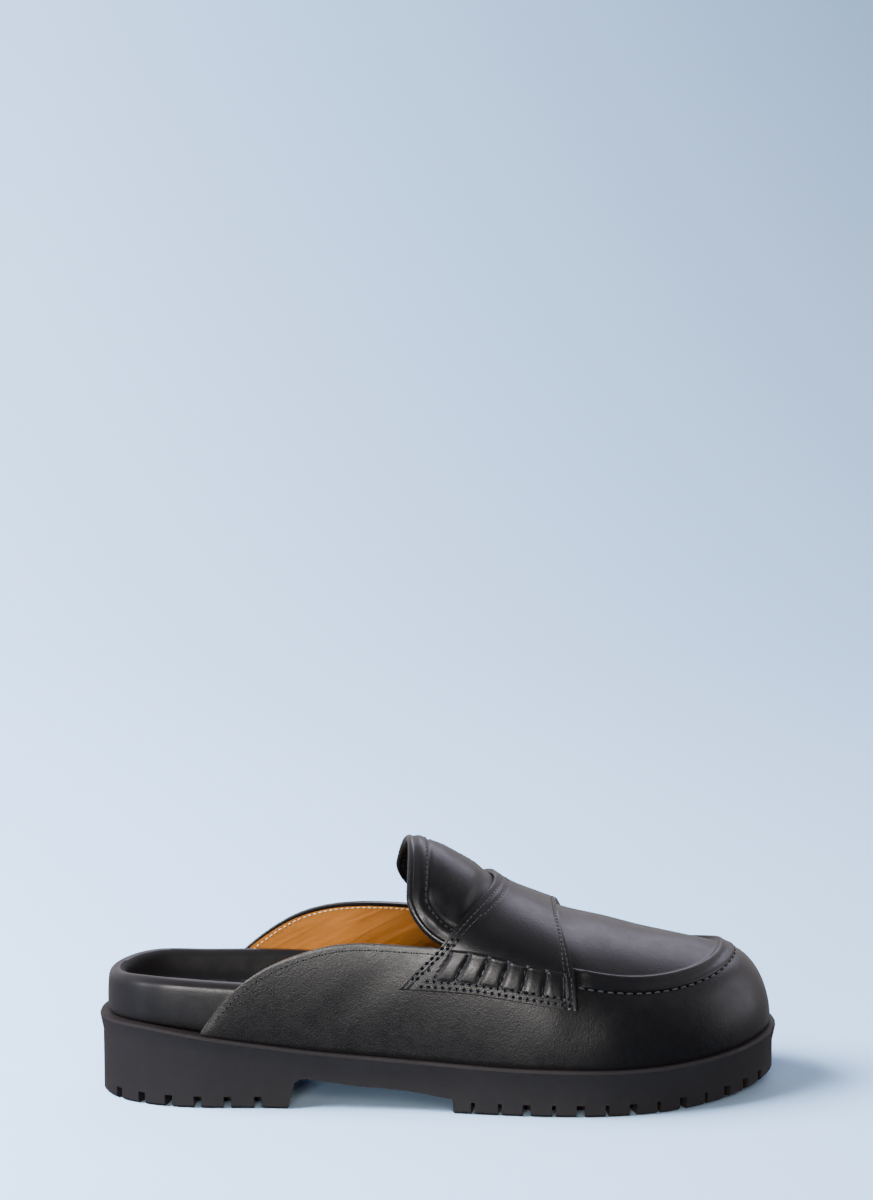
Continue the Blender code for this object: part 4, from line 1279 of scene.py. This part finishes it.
def sew_strap():
    """Black rows along the strap's edges, and at its ends the panel's rows in thread painted lighter as
    glints, the threads in its creases, and a cross of two such lighter stitches over a hole at each end of a
    crease."""
    skin = skin_of(strap)
    black, holes, threads, bright = [], [], [], []
    for side in (LATERAL, MEDIAL):
        for inset in ROW_INSETS:
            for front, levels in ((True, FRONT_ROW), (False, REAR_ROW)):
                black += stitch_row(skin, along_strap(inset, front, *levels, side), EDGE_PITCH, 1.9 * MM)
            for line in (along_strap(inset, False, *PANEL_ROW, side), along_strap_foot(inset, side)):
                bright += stitch_row(skin, line, PANEL_PITCH, 1.6 * MM, 0.45 * MM)
                holes += hole_row(skin, line, PANEL_PITCH, 1.1 * MM)
        for cell in range(PLEATS + 1):
            line = pleat_line(side, cell)
            lean = math.radians(5)
            threads += stitch_row(skin, line, CREASE_PITCH, 2.6 * MM, 0.5 * MM, 0.4 * MM, 0.0, lean)
            along = line[-1] - line[0]
            for end in (line[0], line[-1]):
                for turn in (math.radians(50), math.radians(-50)):
                    bright.append(placing(skin, end, along, 2.2 * MM, 0.5 * MM, 0.45 * MM, 0.15 * MM, turn))
                mouth = end + along.normalized() * 0.2 * MM
                holes.append(placing(skin, mouth, along, 1.2 * MM, 1.2 * MM, 1.0 * MM, 0.05 * MM))
    copies("strap_stitches", STITCH_FORM, black, black_thread)
    copies("strap_awl_holes", HOLE_FORM, holes, pinhole)
    copies("strap_hole_lips", LIP_FORM, holes, calf_leather)
    copies("strap_crease_threads", STITCH_FORM, threads, black_thread)
    copies("strap_cross_stitches", STITCH_FORM, bright, glint_painted_thread)


def sew_tongue():
    skin = skin_of(tongue)
    rows = stitch_row(skin, tongue_seam(), TONGUE_PITCH, 2.0 * MM)
    holes = hole_row(skin, tongue_seam(), TONGUE_PITCH, 0.7 * MM)
    copies("tongue_stitches", STITCH_FORM, rows, black_thread)
    copies("tongue_awl_holes", HOLE_FORM, holes, pinhole)


sew_quarters()
sew_strap()
sew_tongue()


# Studio: a pale blue sweep, soft lights and the camera of the photograph

PHOTO_WIDE, PHOTO_HIGH = 873, 1200
CAMERA_AZIMUTH, CAMERA_RISE = math.radians(-1.5), math.radians(15.75)
CAMERA_DISTANCE = 1.90
PIXELS_PER_METRE = 2250.0
AIM = Vector((0.0, 0.0, 0.045))
AIM_PIXEL = (439.5, 985.0)


def make_camera():
    """The camera looks past the shoe, which stands low in the frame, as in the photograph."""
    focal = PIXELS_PER_METRE * CAMERA_DISTANCE

    def back(azimuth, rise):
        flat = math.cos(rise)
        return Vector((math.sin(azimuth) * flat, -math.cos(azimuth) * flat, math.sin(rise)))

    place = AIM + back(CAMERA_AZIMUTH, CAMERA_RISE) * CAMERA_DISTANCE
    rise = CAMERA_RISE - math.atan((AIM_PIXEL[1] - PHOTO_HIGH / 2) / focal)
    azimuth = CAMERA_AZIMUTH + math.atan((AIM_PIXEL[0] - PHOTO_WIDE / 2) / focal)
    behind = back(azimuth, rise)
    right = Vector((math.cos(azimuth), math.sin(azimuth), 0))
    turn = Matrix((right, behind.cross(right), behind)).transposed().to_4x4()
    lens = bpy.data.cameras.new("camera")
    lens.sensor_fit = "VERTICAL"
    lens.sensor_height = 36
    lens.lens = focal / PHOTO_HIGH * 36
    lens.clip_end = 100
    camera = bpy.data.objects.new("camera", lens)
    camera.matrix_world = Matrix.Translation(place) @ turn
    bpy.context.scene.collection.objects.link(camera)
    bpy.context.scene.camera = camera


def softbox(name, place, wide, high, power, colour, aim=(0, 0, 0.04), glossy=True):
    light = bpy.data.lights.new(name, "AREA")
    light.shape = "RECTANGLE"
    light.size, light.size_y = wide, high
    light.energy = power
    light.color = linear(colour)[:3]
    obj = bpy.data.objects.new(name, light)
    obj.location = place
    obj.rotation_euler = (Vector(aim) - Vector(place)).to_track_quat("-Z", "Y").to_euler()
    obj.visible_glossy = glossy
    bpy.context.scene.collection.objects.link(obj)


# The sweep in metres: its width, how far it reaches to the front, where it starts to bend, the
# bend's radius and the height of the wall above it
SWEEP_WIDE, SWEEP_FRONT, SWEEP_BEND, SWEEP_RADIUS, SWEEP_WALL = 12, -4.0, 0.9, 1.6, 4.5


def make_sweep():
    """Floor and background in one painted sheet with a wide bend. Its paint is darker towards the back and
    the right: painted shade for the light's falloff.
    """
    made, tree, shader = new_material("matte pale blue studio paint", Roughness=0.85)
    shader.inputs["Specular IOR Level"].default_value = 0.2
    where = add(tree, "TexCoord").outputs["Object"]
    part = add(tree, "SeparateXYZ", {0: where})
    # Painted shade: the blue darkens towards the back and towards the right, where the light falls off
    backwards = {"Value": part.outputs["Y"], "From Min": 0.0, "From Max": 2.0, "To Max": 0.55}
    back = add(tree, "MapRange", backwards)
    sideways = {"Value": part.outputs["X"], "From Min": -0.3, "From Max": 0.5, "To Max": 0.45}
    right = add(tree, "MapRange", sideways)
    dim = add(tree, "Math", {0: back.outputs["Result"], 1: right.outputs["Result"]}, operation="ADD")
    painted_falloff_tones = {0: dim.outputs["Value"], 6: linear("#b2d2f2"), 7: linear("#6a7f95")}
    tone = add(tree, "Mix", painted_falloff_tones, data_type="RGBA")
    tree.links.new(tone.outputs[2], shader.inputs["Base Color"])
    deselect()
    bpy.ops.mesh.primitive_grid_add(x_subdivisions=2, y_subdivisions=60, size=1)
    sweep = bpy.context.object
    sweep.name = sweep.data.name = "studio_sweep"
    floor = SWEEP_BEND - SWEEP_FRONT
    for vert in sweep.data.vertices:
        run = (vert.co.y + 0.5) * (floor + SWEEP_RADIUS * math.pi / 2 + SWEEP_WALL)
        vert.co.x *= SWEEP_WIDE
        if run < floor:
            vert.co.y, vert.co.z = SWEEP_FRONT + run, 0
            continue
        turn = min((run - floor) / SWEEP_RADIUS, math.pi / 2)
        rest = run - floor - turn * SWEEP_RADIUS
        vert.co.y = SWEEP_BEND + SWEEP_RADIUS * math.sin(turn)
        vert.co.z = SWEEP_RADIUS * (1 - math.cos(turn)) + rest
    sweep.data.materials.append(made)
    sweep.data.shade_smooth()
    sweep.visible_glossy = False


AIR_STRENGTH = 0.95


def make_world():
    """Soft air light: bright above and behind the shoe, dim on the camera's side, where the studio
    is dark."""
    world = bpy.data.worlds.new("studio air")
    bpy.context.scene.world = world
    world.use_nodes = True
    tree = world.node_tree
    background = tree.nodes["Background"]
    background.inputs["Color"].default_value = linear("#eee8ec")
    way = add(tree, "SeparateXYZ", {0: add(tree, "TexCoord").outputs["Generated"]})
    backwards = {"Value": way.outputs["Y"], "From Min": -0.5, "From Max": 0.9, "To Min": 0.05}
    behind = add(tree, "MapRange", backwards)
    upwards = {"Value": way.outputs["Z"], "From Min": -0.25, "From Max": 0.2, "To Min": 0.35}
    above = add(tree, "MapRange", upwards)
    air = add(tree, "Math", {0: behind.outputs["Result"], 1: above.outputs["Result"]}, operation="MULTIPLY")
    strength = add(tree, "Math", {0: air.outputs["Value"], 1: AIR_STRENGTH}, operation="MULTIPLY")
    tree.links.new(strength.outputs["Value"], background.inputs["Strength"])


make_camera()
make_sweep()
make_world()
softbox("overhead softbox", (-2.0, 0.0, 1.8), 1.8, 1.6, 500, "#eaf3ff", (-0.9, 0.4, 0), glossy=False)
softbox("key softbox", (-0.60, -2.1, 0.50), 0.55, 0.34, 26, "#fffaf5")
softbox("left softbox", (-1.9, -1.3, 0.45), 1.0, 0.7, 12, "#faf6fa")
softbox("front fill", (0.3, -2.2, 1.2), 1.2, 0.8, 30, "#ffeedd", glossy=False)
softbox("right softbox", (1.9, 0.1, 0.65), 1.5, 1.3, 8, "#f6f4ff")
softbox("rear softbox", (0.6, 1.25, 1.45), 1.5, 0.9, 12, "#e9e4ff")
